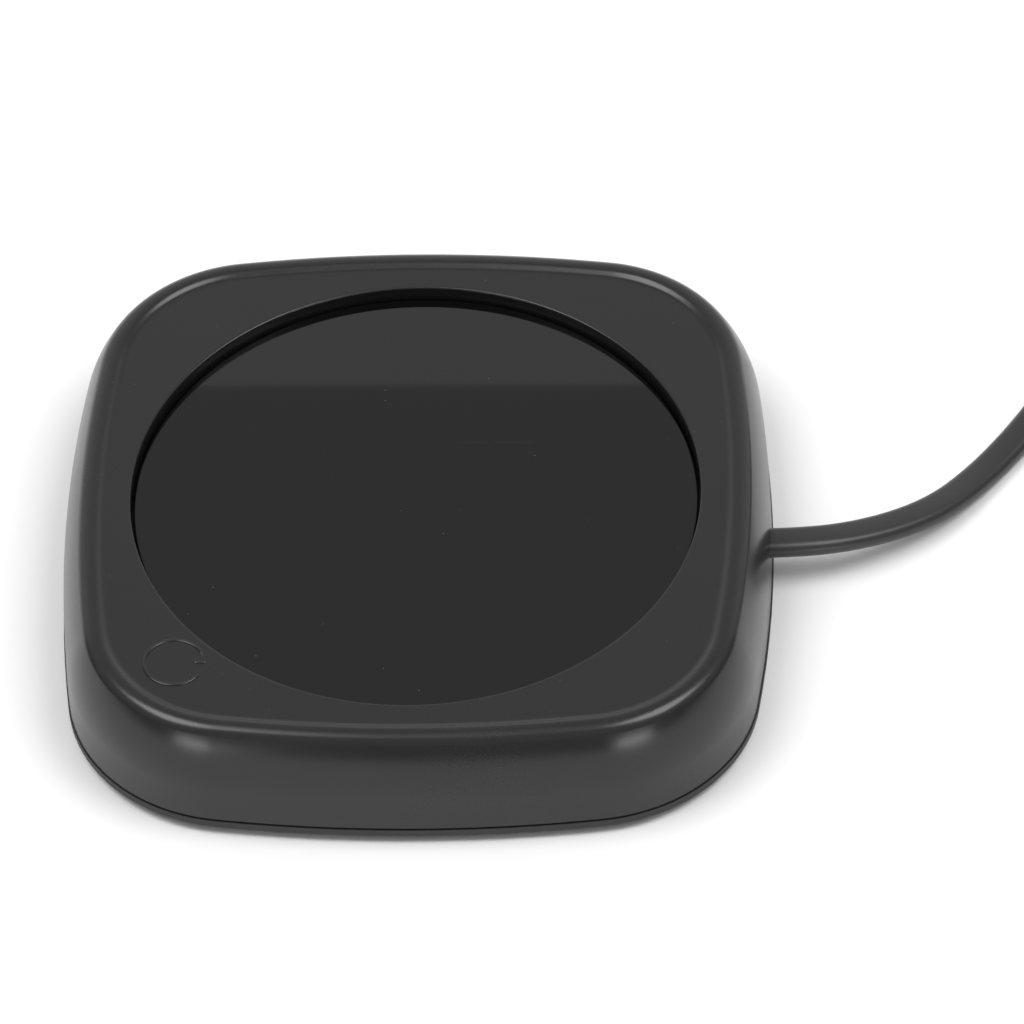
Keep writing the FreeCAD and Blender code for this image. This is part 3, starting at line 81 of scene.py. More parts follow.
class CoverSettings(bpy.types.PropertyGroup):
    """Sizes of the top cover, in metres."""

    half_width: metres("Half width", "Half the width of the housing's outline", 0.065)
    corner_radius: metres("Corner radius", "Radius of the outline's corners", 0.0323)
    bow_radius: metres("Bow radius", "Radius of the outline's bowed sides", 0.265)
    deck_height: metres("Deck height", "Height of the deck above the ground", 0.0228)
    deck_inset: metres("Deck inset", "Distance from the outline to the deck's edge", 0.0085)
    step_width: metres("Step width", "Width of the curved step up to the crest", 0.002)
    crest_rise: metres("Crest rise", "Height of the crest above the deck", 0.0006)
    crest_flat: metres("Crest flat", "Width of the level top of the crest", 0.0003)
    shoulder_radius: metres("Shoulder radius", "Radius of the shoulder's first arc", 0.003)
    shoulder_inset: metres("Shoulder inset", "Distance from the outline to the shoulder's foot", 0.0004)
    shoulder_height: metres("Shoulder height", "Height where the shoulder meets the wall", 0.0102)
    foot_inset: metres("Wall foot inset", "Distance from the outline to the wall's lower edge", 0.0002)
    foot_height: metres("Wall foot height", "Height of the wall's lower edge", 0.0035)
    wall: metres("Wall", "Thickness of the moulding", 0.002)
    well_radius: metres("Well radius", "Radius of the round well", 0.052)
    well_wall: metres("Well wall", "Thickness of the wall of the well", 0.0018)
    well_foot: metres("Well foot", "Height of the lower edge of the well's wall", 0.01715)
    rim_rounding: metres("Rim rounding", "Radius of the well's upper edge", 0.00035)


class MarkSettings(bpy.types.PropertyGroup):
    """Sizes of the power mark on the deck, in metres."""

    place: numbers("Place", "Centre of the ring on the deck", (-0.04215, -0.0417))
    radius: metres("Radius", "Radius of the ring's middle line", 0.0054)
    line: metres("Line", "Width of the raised line", 0.0007)
    rise: metres("Rise", "Height of the raised line", 0.00022)
    opening: FloatProperty(name="Opening", description="Angle left open at the ring's right",
                           default=math.radians(50), subtype="ANGLE")


class CordSettings(bpy.types.PropertyGroup):
    """Sizes of the flat cord, in metres."""

    width: metres("Width", "Wide side of the flat cord", 0.0062)
    thickness: metres("Thickness", "Narrow side of the flat cord", 0.0034)
    coil_centre: numbers("Coil centre", "Centre of the put-away coil on the ground", (0.159, 0.0795))
    coil_radius: metres("Coil radius", "Radius of the coil's outer turn", 0.037)
    coil_gap: metres("Coil gap", "Gap between neighbouring turns", 0.0007)
    lift: metres("Lift", "Height of the coil's underside, on its tie", 0.0006)
    quarters_in: IntProperty(name="Quarter turns in", description="Quarter turns of the coil's lower layer",
                             default=10, min=4)


class LookSettings(bpy.types.PropertyGroup):
    """Colours and finishes that show most."""

    housing: numbers("Housing", "Colour of the moulded housing", (0.0088, 0.0088, 0.0090), "COLOR")
    housing_roughness: FloatProperty(name="Housing roughness", description="Roughness of the satin housing",
                                     default=0.25, min=0, max=1, subtype="FACTOR")
    glass: numbers("Plate", "Colour of the glass plate", (0.0022, 0.0022, 0.0024), "COLOR")
    cord: numbers("Cord", "Colour of the cord's jacket", (0.018, 0.018, 0.018), "COLOR")


class StageSettings(bpy.types.PropertyGroup):
    """Camera and lights."""

    camera_place: numbers("Camera place", "Position of the camera", (0.09762, -1.393, 1.5098))
    camera_turn: FloatProperty(name="Camera turn", description="Turn of the view about the vertical",
                               default=-0.05753, subtype="ANGLE")
    camera_pitch: FloatProperty(name="Camera pitch", description="Angle at which the camera looks down",
                                default=0.819, subtype="ANGLE")
    camera_roll: FloatProperty(name="Camera roll", description="Roll of the camera", default=-0.04468,
                               subtype="ANGLE")
    lens: FloatProperty(name="Lens", description="Focal length in millimetres on a 36 mm sensor",
                        default=393.6)


GROUPS = {
    "warmer_cover": CoverSettings,
    "warmer_mark": MarkSettings,
    "warmer_cord": CordSettings,
    "warmer_look": LookSettings,
    "warmer_stage": StageSettings,
}


# Meshes

def smooth(mesh, angle):
    """Shades a mesh smooth, but sharp where faces meet at more than an angle in degrees."""
    mesh.shade_smooth()
    mesh.set_sharp_from_angle(angle=math.radians(angle))


def even_normals(obj):
    """Lets the larger faces lead the normals, so that level faces look level."""
    modifier = obj.modifiers.new("Even normals", "WEIGHTED_NORMAL")
    modifier.keep_sharp = True
    modifier.weight = 100


def new_object(name, bm, smooth_angle=35, weighted=False):
    """Turns a bmesh into an object, smooth up to an angle between faces."""
    bmesh.ops.recalc_face_normals(bm, faces=bm.faces)
    mesh = bpy.data.meshes.new(name)
    bm.to_mesh(mesh)
    bm.free()
    smooth(mesh, smooth_angle)
    obj = bpy.data.objects.new(name, mesh)
    bpy.context.scene.collection.objects.link(obj)
    if weighted:
        even_normals(obj)
    return obj


def place_piece(obj, body, material, slot, *replaced):
    """Gives a piece its material and the body it rides on, and hides the nodes it replaces; its slot is not
    used.
    """
    obj.data.materials.append(material)
    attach(obj, body)
    if replaced:
        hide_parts(*replaced)
    return obj


def skin(bm, rings, closed=False, caps=False):
    """Joins rings of as many points each with faces, and gives the rings' vertices back."""
    made = [[bm.verts.new(point) for point in ring] for ring in rings]
    pairs = list(zip(made, made[1:]))
    if closed:
        pairs.append((made[-1], made[0]))
    for first, second in pairs:
        count = len(first)
        for n in range(count):
            m = (n + 1) % count
            bm.faces.new((first[n], first[m], second[m], second[n]))
    if caps:
        bm.faces.new(made[0])
        bm.faces.new(reversed(made[-1]))
    return made


def turned(bm, corners, steps, centre=(0, 0)):
    """Turns a run of (radius, height) corners about a vertical axis."""
    start = [bm.verts.new((centre[0] + r, centre[1], z)) for r, z in corners]
    edges = [bm.edges.new(pair) for pair in zip(start, start[1:])]
    bmesh.ops.spin(bm, geom=start + edges, cent=(*centre, 0), axis=(0, 0, 1), dvec=(0, 0, 0),
                   angle=math.tau, steps=steps, use_merge=True, use_duplicate=False)
    bmesh.ops.remove_doubles(bm, verts=bm.verts, dist=1e-7)


def arc(centre, radius, start, end, steps):
    """Points of an arc, with both ends, angles in degrees from +X."""
    return [
        (centre[0] + radius * math.cos(math.radians(start + (end - start) * n / steps)),
         centre[1] + radius * math.sin(math.radians(start + (end - start) * n / steps)))
        for n in range(steps + 1)
    ]


def eased(share):
    """A share from 0 to 1 that starts and ends level."""
    share = min(max(share, 0), 1)
    return share * share * (3 - 2 * share)


def add_block(bm, middle, sizes):
    """A block about its middle, with its size along each axis."""
    for vertex in bmesh.ops.create_cube(bm, size=1)["verts"]:
        vertex.co = middle + Vector([part * size for part, size in zip(vertex.co, sizes)])


# Top cover

def outline(settings, inset, side_steps=28, corner_steps=34):
    """Points of the bowed square at an inset: four wide arcs and four corner arcs."""
    half = settings.half_width
    back = settings.bow_radius - half
    reach = settings.bow_radius - settings.corner_radius
    place = (-back + math.sqrt(2 * reach ** 2 - back ** 2)) / 2
    turn = math.atan2(place, place + back)
    points = []
    for side in range(4):
        across = side * math.pi / 2
        side_centre = Vector((-back * math.cos(across), -back * math.sin(across)))
        diagonal = across + math.pi / 4
        corner_centre = Vector((math.cos(diagonal), math.sin(diagonal))) * place * math.sqrt(2)
        for centre, radius, low, high, steps in (
            (side_centre, settings.bow_radius - inset, across - turn, across + turn, side_steps),
            (corner_centre, settings.corner_radius - inset, across + turn, across + math.pi / 2 - turn,
             corner_steps),
        ):
            for n in range(steps):
                angle = low + (high - low) * n / steps
                points.append(centre + Vector((math.cos(angle), math.sin(angle))) * radius)
    return points


def cover_profile(c):
    """The cover's section from the deck's edge to its underside, as (distance from the centre, height)."""
    deck_x = c.half_width - c.deck_inset
    bend = (c.step_width ** 2 / 4 + c.crest_rise ** 2 / 4) / c.crest_rise
    sweep = math.degrees(math.asin(c.step_width / 2 / bend))
    crest_z = c.deck_height + c.crest_rise
    crest_x = deck_x + c.step_width
    line = arc((deck_x, c.deck_height + bend), bend, -90, -90 + sweep, 8)
    line += arc((crest_x, crest_z - bend), bend, 90 + sweep, 90, 8)[1:]
    top_x = crest_x + c.crest_flat
    foot_x = c.half_width - c.shoulder_inset
    wide, drop, small = foot_x - top_x, crest_z - c.shoulder_height, c.shoulder_radius
    large = (wide ** 2 + drop ** 2 - 2 * drop * small) / (2 * (wide - small))
    small_centre = (top_x, crest_z - small)
    large_centre = (foot_x - large, c.shoulder_height)
    across, up = (a - b for a, b in zip(small_centre, large_centre))
    meet = math.degrees(math.atan2(up, across))
    line += arc(small_centre, small, 90, meet, 22)
    line += arc(large_centre, large, meet, 0, 20)[1:]
    wall_x = c.half_width - c.foot_inset
    line += [((foot_x + wall_x) / 2, (c.shoulder_height + c.foot_height) / 2)]
    line += [(wall_x, c.foot_height + 0.2 * MM), (wall_x - 0.1 * MM, c.foot_height)]
    line += [(wall_x - c.wall, c.foot_height), (foot_x - c.wall, c.shoulder_height)]
    under = c.deck_height - c.wall
    inner = large - c.wall
    top = math.degrees(math.asin((under - c.shoulder_height) / inner))
    line += arc(large_centre, inner, 0, top, 8)[1:]
    line.append((deck_x - 1.5 * MM, under))
    return line


def make_cover_mesh(c):
    """The cover as one closed skin: deck, crest, shoulder, wall, underside and the wall of the well."""
    bm = bmesh.new()
    deck_x = c.half_width - c.deck_inset
    directions = [point.normalized() for point in outline(c, c.deck_inset)]
    rings = []
    for x, z in [(deck_x - 0.4 * MM, c.deck_height)] + cover_profile(c):
        rings.append([Vector((p.x, p.y, z)) for p in outline(c, c.half_width - x)])
    under = c.deck_height - c.wall
    outer = c.well_radius + c.well_wall
    rounding = c.rim_rounding
    well = [(outer, under), (outer, c.well_foot), (c.well_radius, c.well_foot)]
    well += [(c.well_radius, c.deck_height - rounding - 0.3 * MM)]
    well += arc((c.well_radius + rounding, c.deck_height - rounding), rounding, 180, 90, 6)
    well += [(c.well_radius + rounding + 0.3 * MM, c.deck_height)]
    for radius, z in well:
        rings.append([Vector((d.x * radius, d.y * radius, z)) for d in directions])
    skin(bm, rings, closed=True)
    return bm


def stadium(half_wide, half_thick, steps=8):
    """A flat cord's section as (along the wide side, along the narrow side)."""
    straight = half_wide - half_thick
    points = arc((straight, 0), half_thick, -90, 90, steps)
    points += arc((-straight, 0), half_thick, 90, 270, steps)
    return points


def cut_away(obj, bm_cutter, name, crossing=False):
    """Cuts closed meshes out of an object for good; they may cross each other where it is said."""
    cutter = new_object(name, bm_cutter)
    modifier = obj.modifiers.new("Cut", "BOOLEAN")
    modifier.operation = "DIFFERENCE"
    modifier.solver = "EXACT"
    modifier.use_self = crossing
    modifier.object = cutter
    bpy.context.view_layer.update()
    graph = bpy.context.evaluated_depsgraph_get()
    mesh = bpy.data.meshes.new_from_object(obj.evaluated_get(graph))
    obj.modifiers.remove(modifier)
    obj.data = mesh
    bpy.data.objects.remove(cutter)


def slot_cutter(c, cord):
    """The cord's slot through the right-hand wall, as a closed mesh."""
    bm = bmesh.new()
    section = stadium(cord.width / 2 + SLOT_GAP, cord.thickness / 2 + SLOT_GAP)
    rings = [
        [Vector((x, along, CORD_LEVEL + up)) for along, up in section]
        for x in (c.half_width - 4 * MM, c.half_width + 2 * MM)
    ]
    skin(bm, rings, caps=True)
    return bm


class AddCover(bpy.types.Operator):
    """Builds the top cover with its deck, crest, shoulder, well and cord slot"""

    bl_idname = "warmer.add_cover"
    bl_label = "Add top cover"

    def execute(self, context):
        c, cord = context.scene.warmer_cover, context.scene.warmer_cord
        obj = new_object("cover", make_cover_mesh(c))
        cut_away(obj, slot_cutter(c, cord), "slot_cutter")
        bm = bmesh.new()
        bm.from_mesh(obj.data)
        # The bosses reach a little into the moulding above them.
        boss_top = c.deck_height - c.wall + 0.2 * MM
        for x in (-BOSS_X, BOSS_X):
            for y in (-BOSS_Y, BOSS_Y):
                add_tube(bm, (x, y), BOSS_BORE, BOSS_RADIUS, BOSS_FOOT, boss_top)
        bm.to_mesh(obj.data)
        bm.free()
        smooth(obj.data, 35)
        even_normals(obj)
        place_piece(obj, HOUSING, materials["housing"], "housing_plastic", "top_cover")
        return {"FINISHED"}


def add_tube(bm, centre, inner, outer, low, high, steps=32):
    """An upright tube with a wall."""
    rings = []
    for radius, z in ((inner, low), (outer, low), (outer, high), (inner, high)):
        rings.append([
            Vector((centre[0] + radius * math.cos(math.tau * n / steps),
                    centre[1] + radius * math.sin(math.tau * n / steps), z))
            for n in range(steps)
        ])
    skin(bm, rings, closed=True)


class AddPlate(bpy.types.Operator):
    """Builds the round glass heating plate with its polished edge"""

    bl_idname = "warmer.add_plate"
    bl_label = "Add heating plate"

    def execute(self, context):
        low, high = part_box("heating_plate")
        radius, chamfer, rounding = high.x, 0.2 * MM, 0.4 * MM
        side = (radius, low.z + chamfer)
        # Rows close to the edges keep the flat faces flat.
        under_row, side_row, top_row = 0.6 * MM, 0.2 * MM, 0.3 * MM
        bm = bmesh.new()
        line = [(0, low.z), (radius - under_row, low.z), (radius - chamfer, low.z), side]
        line += [(radius, high.z - rounding - side_row)]
        line += arc((radius - rounding, high.z - rounding), rounding, 0, 90, 8)
        line += [(radius - rounding - top_row, high.z), (radius * 0.5, high.z), (0, high.z)]
        turned(bm, line, 200)
        obj = new_object("plate_glass_disc", bm, weighted=True)
        place_piece(obj, PLATE, materials["glass"], "plate_glass", "heating_plate")
        return {"FINISHED"}


# Power mark

def bead(bm, path, half_width, rise, level):
    """A low raised line with round ends along points on the deck."""
    rings = []
    count = len(path)
    section = [(math.cos(math.pi * n / 8), math.sin(math.pi * n / 8)) for n in range(9)]
    ends = [0.05, 0.6, 0.9, 1.0]
    for n, point in enumerate(path):
        before, after = path[max(n - 1, 0)], path[min(n + 1, count - 1)]
        way = (after - before).normalized()
        side = Vector((way.y, -way.x))
        share = ends[min(n, 3, count - 1 - n)]
        rings.append([
            Vector((*(point + side * half_width * share * across), level + rise * share * up))
            for across, up in section
        ] + [Vector((*point, level - 0.05 * MM))])
    skin(bm, rings, caps=True)


class AddMark(bpy.types.Operator):
    """Builds the raised power mark: an open ring with a bar in its opening"""

    bl_idname = "warmer.add_mark"
    bl_label = "Add power mark"

    def execute(self, context):
        m, level = context.scene.warmer_mark, context.scene.warmer_cover.deck_height
        centre = Vector(m.place)
        bm = bmesh.new()
        steps, bar_steps = 72, 12
        # The opening is turned a little to the front from the ring's right.
        start = m.opening / 2 - math.radians(6)
        ring = []
        for n in range(steps + 1):
            angle = start + (math.tau - m.opening) * n / steps
            ring.append(centre + Vector((math.cos(angle), math.sin(angle))) * m.radius)
        bead(bm, ring, m.line / 2, m.rise, level)
        bar_start, bar_length = 3.4 * MM, 2.6 * MM
        bar = [centre + Vector((bar_start + bar_length * n / bar_steps, 0)) for n in range(bar_steps + 1)]
        bead(bm, bar, m.line / 2, m.rise, level)
        obj = new_object("power_mark", bm, smooth_angle=60)
        place_piece(obj, HOUSING, materials["mark"], "housing_plastic")
        return {"FINISHED"}


# Cord

FREE_ROUTE = [
    (54.5, 0.0, 8.8), (69.5, 0.0, 8.8), (83.0, 5.1, 6.1), (94.5, 12.6, 3.9), (103.0, 23.0, 1.95),
    (111.0, 34.5, 1.75), (117.0, 45.0, 1.95), (121.0, 54.5, 2.65), (122.0, 63.5, 3.7),
]
PLUG_ROUTE = [(196.0, 64.3, 10.6), (196.0, 54.3, 8.5), (196.0, 46.3, 8.5)]
POINTS_A_QUARTER = 6


def coil_points(s):
    """The coil's turns: inwards on the ground, up where it reverses, and outwards above."""
    pitch, climb = s.thickness + s.coil_gap, s.width + s.coil_gap
    low = s.lift + s.width / 2
    middle = s.quarters_in + 1
    step = math.pi / 2 / POINTS_A_QUARTER
    widen = 8 / (6 + 2 * math.cos(step))
    points = []
    for n in range(middle * 2 * POINTS_A_QUARTER + 1):
        quarter = n / POINTS_A_QUARTER
        away = abs(quarter - middle)
        inwards = middle - (away if away > 1 else 2 * away ** 2 - away ** 3)
        radius = (s.coil_radius - pitch * inwards / 4) * widen
        angle = math.pi - quarter * math.pi / 2
        points.append(Vector((
            s.coil_centre[0] + radius * math.cos(angle), s.coil_centre[1] + radius * math.sin(angle),
            low + climb * eased((quarter - middle + 1) / 2),
        )))
    return points


def smooth_line(points, resolution):
    """Points along the NURBS curve of a route."""
    curve = bpy.data.curves.new("route", "CURVE")
    curve.dimensions = "3D"
    spline = curve.splines.new("NURBS")
    spline.points.add(len(points) - 1)
    for target, point in zip(spline.points, points):
        target.co = (*point, 1)
    spline.order_u = 3
    spline.use_endpoint_u = True
    spline.resolution_u = resolution
    holder = bpy.data.objects.new("route", curve)
    mesh = bpy.data.meshes.new_from_object(holder)
    line = [vertex.co.copy() for vertex in mesh.vertices]
    bpy.data.objects.remove(holder)
    bpy.data.meshes.remove(mesh)
    return line


def flat_cord(bm, line, s):
    """Sweeps the flat section: level at first, turned upright as it rises to the coil, then carried on."""
    rings = []
    section = stadium(s.width / 2, s.thickness / 2)
    up = Vector((0, 0, 1))
    lowest = min(range(len(line)), key=lambda n: line[n].z)
    flat_at, upright_at = s.thickness / 2 + 0.1 * MM, s.lift + s.width / 2 - 0.05 * MM
    wide_side, upright = None, False
    for n, point in enumerate(line):
        way = (line[min(n + 1, len(line) - 1)] - line[max(n - 1, 0)]).normalized()
        if upright:
            wide_side = (wide_side - way * wide_side.dot(way)).normalized()
        else:
            share = min(max((point.z - flat_at) / (upright_at - flat_at), 0), 1) if n > lowest else 0
            turn = math.pi / 2 * eased(share)
            wide_side = Matrix.Rotation(turn, 3, way) @ way.cross(up).normalized()
            upright = share == 1
        narrow_side = way.cross(wide_side).normalized()
        rings.append([point + wide_side * a + narrow_side * b for a, b in section])
    skin(bm, rings, caps=True)


class AddCord(bpy.types.Operator):
    """Builds the flat cord on its whole route: free run, put-away coil and lead at the plug"""

    bl_idname = "warmer.add_cord"
    bl_label = "Add cord"

    def execute(self, context):
        s = context.scene.warmer_cord
        free = [Vector(point) * MM for point in FREE_ROUTE]
        plug = [Vector(point) * MM for point in PLUG_ROUTE]
        line = smooth_line(free + coil_points(s) + plug, 6)
        bm = bmesh.new()
        flat_cord(bm, line, s)
        obj = new_object("cord", bm, smooth_angle=50)
        place_piece(obj, HOUSING, materials["cord"], "cord_rubber", "power_cord", "cord_coil", "plug_lead")
        tie, grip, blades = add_tie(), add_plug(), add_blades()
        return {"FINISHED"}


def add_tie():
    """The woven strap round the coil's turns, with its end folded over on top."""
    low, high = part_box("cord_tie")
    thick, rounding = 0.5 * MM, 1.1 * MM
    bm = bmesh.new()
    loops = []
    for inset in (0.0, thick):
        y0, y1, z0, z1 = low.y + inset, high.y - inset, low.z + inset, high.z - inset
        r = rounding - inset
        loop = []
        corners = [(y1 - r, z1 - r), (y0 + r, z1 - r), (y0 + r, z0 + r), (y1 - r, z0 + r)]
        for quarter, centre in enumerate(corners):
            loop += arc(centre, r, quarter * 90, quarter * 90 + 90, 6)
        loops.append(loop)
    rings = []
    half = (high.x - low.x) / 2
    middle = (high.x + low.x) / 2
    for loop, across in ((loops[0], -1), (loops[0], 1), (loops[1], 1), (loops[1], -1)):
        rings.append([Vector((middle + half * across, y, z)) for y, z in loop])
    skin(bm, rings, closed=True)
    # The strap's free end lies on its outer side, with slanted ends.
    start, end, slant = 2.2 * MM, 2.6 * MM, 0.2 * MM
    tab = []
    for x in (low.x + 0.3 * MM, high.x - 0.3 * MM):
        tab.append([
            Vector((x, y, z)) for y, z in (
                (low.y + start, high.z), (high.y - end, high.z),
                (high.y - end - slant, high.z + thick), (low.y + start - slant, high.z + thick),
            )
        ])
    skin(bm, tab, caps=True)
    obj = new_object("tie", bm)
    return place_piece(obj, HOUSING, materials["tie"], "tie_fabric", "cord_tie")


def superellipse(half_wide, half_tall, power, steps=48):
    """Points of a rounded rectangle that grows squarer with its power."""
    points = []
    for n in range(steps):
        angle = math.tau * n / steps
        c, d = math.cos(angle), math.sin(angle)
        points.append((math.copysign(abs(c) ** (2 / power), c) * half_wide,
                       math.copysign(abs(d) ** (2 / power), d) * half_tall))
    return points


def add_plug():
    """The moulded plug: ribs at the cord's end, a waist for the fingers and a flat face at the blades."""
    low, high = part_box("plug_body")
    x, z = (low.x + high.x) / 2, (low.z + high.z) / 2
    length = high.y - low.y
    # Half widths and half heights in millimetres at the cord, at the ribs' end and at the face.
    sizes = [(4.7, 6.1, 11.8), (3.95, 4.95, 8.3)]
    steps, ribs_end, groove, chamfer = 36, 0.4, 0.45, 0.6 * MM
    grow_from, grow_over = 0.3, 0.45
    stations = []
    for n in range(steps + 1):
        share = n / steps
        grow = eased((share - grow_from) / grow_over)
        notch = groove if n % 3 == 0 and 0.04 < share < 0.36 else 0
        halves = []
        for neck, waist, face in sizes:
            half = neck + (waist - neck) * min(share / ribs_end, 1)
            halves.append((half + (face - half) * grow - notch) * MM)
        stations.append((share, *halves))
    wide, tall = halves
    stations[-1] = (0.99, wide, tall)
    stations.append((1.0, wide - chamfer, tall - chamfer))
    bm = bmesh.new()
    rings = [
        [Vector((x + a, high.y - share * length, z + b)) for a, b in superellipse(wide, tall, 3.2)]
        for share, wide, tall in stations
    ]
    skin(bm, rings, caps=True)
    obj = new_object("plug_grip", bm, smooth_angle=40)
    return place_piece(obj, HOUSING, materials["cord"], "cord_rubber", "plug_body")


def add_blades():
    """Two flat blades with chamfered tips and a hole through each."""
    low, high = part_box("plug_blades")
    middle = (low + high) / 2
    thick, hole_place, hole_radius, hole_steps = 1.5 * MM, 3.6 * MM, 1.6 * MM, 24
    bm = bmesh.new()
    for x in (low.x, high.x - thick):
        add_block(bm, Vector((x + thick / 2, middle.y, middle.z)), (thick, high.y - low.y, high.z - low.z))
    tips = [edge for edge in bm.edges if all(v.co.y < low.y + 0.1 * MM for v in edge.verts)]
    bmesh.ops.bevel(bm, geom=tips, offset=0.5 * MM, segments=2, affect="EDGES", profile=0.5, material=-1)
    obj = new_object("blades", bm)
    cutter = bmesh.new()
    circle = arc((low.y + hole_place, middle.z), hole_radius, 0, 360, hole_steps)[:-1]
    rings = [[Vector((x, y, z)) for y, z in circle] for x in (low.x - 2 * MM, high.x + 2 * MM)]
    skin(cutter, rings, caps=True)
    cut_away(obj, cutter, "blade_cutter")
    return place_piece(obj, HOUSING, materials["nickel"], "blade_metal", "plug_blades")


# Screws

def screw_line(low, high, head, shank):
    """A screw's section as (radius, height): a pan head downwards and a threaded shank upwards."""
    seat, pitch, rounding, core = 4.4 * MM, 0.9 * MM, 0.5 * MM, shank * 0.8
    thread_end, cone = high - 1.5 * MM, high - 1.4 * MM
    line = [(0, low), (head - rounding, low)]
    line += arc((head - rounding, low + rounding), rounding, -90, 0, 4)[1:]
    line += [(head, seat), (core, seat)]
    z = seat
    while z + pitch < thread_end:
        line += [(core, z + pitch * 0.35), (shank, z + pitch * 0.6), (core, z + pitch * 0.85)]
        z += pitch
    return line + [(core, cone), (shank * 0.25, high), (0, high)]


class AddScrews(bpy.types.Operator):
    """Builds the housing screws with pan heads, cross recesses and threaded shanks"""

    bl_idname = "warmer.add_screws"
    bl_label = "Add housing screws"

    def execute(self, context):
        low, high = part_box("housing_screws")
        head, shank = 2.6 * MM, 1.4 * MM
        arm_length, arm_width, arm_depth = 2.9 * MM, 0.6 * MM, 1.8 * MM
        line = screw_line(low.z, high.z, head, shank)
        bm, cutter = bmesh.new(), bmesh.new()
        for x in (low.x + head, high.x - head):
            for y in (low.y + head, high.y - head):
                turned(bm, line, 32, (x, y))
                for along_x, along_y in ((arm_length, arm_width), (arm_width, arm_length)):
                    add_block(cutter, Vector((x, y, low.z)), (along_x, along_y, arm_depth))
        obj = new_object("screws", bm, smooth_angle=40)
        cut_away(obj, cutter, "recess_cutter", crossing=True)
        place_piece(obj, HOUSING, materials["steel"], "screw_steel", "housing_screws")
        return {"FINISHED"}


# Materials

class Socket:
    """A shader value that can be reckoned with like a number."""

    def __init__(self, tree, output):
        self.tree = tree
        self.output = output

    def maths(self, operation, other=None):
        node = self.tree.nodes.new("ShaderNodeMath")
        node.operation = operation
        self.tree.links.new(self.output, node.inputs[0])
        if isinstance(other, Socket):
            self.tree.links.new(other.output, node.inputs[1])
        elif other is not None:
            node.inputs[1].default_value = other
        return Socket(self.tree, node.outputs[0])

    def __add__(self, other):
        return self.maths("ADD", other)

    def __sub__(self, other):
        return self.maths("SUBTRACT", other)

    def __mul__(self, other):
        return self.maths("MULTIPLY", other)

    def over(self, threshold):
        return self.maths("GREATER_THAN", threshold)

    def clamped(self):
        node = self.tree.nodes.new("ShaderNodeClamp")
        self.tree.links.new(self.output, node.inputs["Value"])
        return Socket(self.tree, node.outputs[0])


class Shader:
    """A principled material with helpers for what varies over its surface."""

    def __init__(self, name, colour, roughness, metallic=0.0, ior=1.5, specular=0.5):
        self.material = bpy.data.materials.new(name)
        self.material.use_nodes = True
        self.tree = self.material.node_tree
        self.surface = self.tree.nodes["Principled BSDF"]
        self.colour = (*colour, 1.0)
        self.surface.inputs["Base Color"].default_value = self.colour
        self.surface.inputs["Roughness"].default_value = roughness
        self.surface.inputs["Metallic"].default_value = metallic
        self.surface.inputs["IOR"].default_value = ior
        self.surface.inputs["Specular IOR Level"].default_value = specular
        coordinates = self.tree.nodes.new("ShaderNodeTexCoord")
        self.place = coordinates.outputs["Object"]

    def noise(self, scale, detail=3.0, stretch=None):
        node = self.tree.nodes.new("ShaderNodeTexNoise")
        node.inputs["Scale"].default_value = scale
        node.inputs["Detail"].default_value = detail
        self.tree.links.new(self.stretched(stretch), node.inputs["Vector"])
        return Socket(self.tree, node.outputs[0])

    def specks(self, scale, radius):
        """One where a small speck lies, its radius a share of the cells it is strewn in."""
        node = self.tree.nodes.new("ShaderNodeTexVoronoi")
        node.inputs["Scale"].default_value = scale
        self.tree.links.new(self.place, node.inputs["Vector"])
        return Socket(self.tree, node.outputs["Distance"]).maths("LESS_THAN", radius)

    def near(self, axis, middle, reach):
        """One where a coordinate lies within a reach of a value."""
        node = self.tree.nodes.new("ShaderNodeSeparateXYZ")
        self.tree.links.new(self.place, node.inputs[0])
        away = Socket(self.tree, node.outputs[axis]) - middle
        return away.maths("ABSOLUTE").maths("LESS_THAN", reach)

    def waves(self, scale, direction, distortion=0.0):
        node = self.tree.nodes.new("ShaderNodeTexWave")
        node.bands_direction = direction
        node.inputs["Scale"].default_value = scale
        node.inputs["Distortion"].default_value = distortion
        self.tree.links.new(self.place, node.inputs["Vector"])
        return Socket(self.tree, node.outputs["Fac"])

    def stretched(self, stretch):
        if stretch is None:
            return self.place
        node = self.tree.nodes.new("ShaderNodeMapping")
        node.inputs["Scale"].default_value = stretch
        self.tree.links.new(self.place, node.inputs["Vector"])
        return node.outputs[0]

    def vary_roughness(self, value):
        self.tree.links.new(value.output, self.surface.inputs["Roughness"])

    def vary_colour(self, share, other):
        node = self.tree.nodes.new("ShaderNodeMix")
        node.data_type = "RGBA"
        self.tree.links.new(share.output, node.inputs["Factor"])
        node.inputs["A"].default_value = self.colour
        node.inputs["B"].default_value = (*other, 1.0)
        self.tree.links.new(node.outputs["Result"], self.surface.inputs["Base Color"])

    def bump(self, height, depth, strength=1.0):
        node = self.tree.nodes.new("ShaderNodeBump")
        node.inputs["Distance"].default_value = depth
        node.inputs["Strength"].default_value = strength
        self.tree.links.new(height.output, node.inputs["Height"])
        self.tree.links.new(node.outputs["Normal"], self.surface.inputs["Normal"])


def moulded(name, colour, roughness, grain=2600.0, depth=0.000006, dust=0.0, spread=0.08):
    """Moulded plastic: fine grain, uneven sheen and, where asked, a little dust."""
    shader = Shader(name, colour, roughness)
    broad = shader.noise(45.0, 2.0)
    fine = shader.noise(grain, 2.0)
    shader.vary_roughness((broad - 0.5) * spread + (fine - 0.5) * spread + roughness)
    shader.bump(fine, depth)
    if dust:
        shader.vary_colour(shader.specks(330.0, 0.028) * dust, (0.25, 0.25, 0.24))
    else:
        shader.vary_colour((broad - 0.4).clamped() * 0.4, tuple(part * 1.35 for part in colour))
    return shader.material


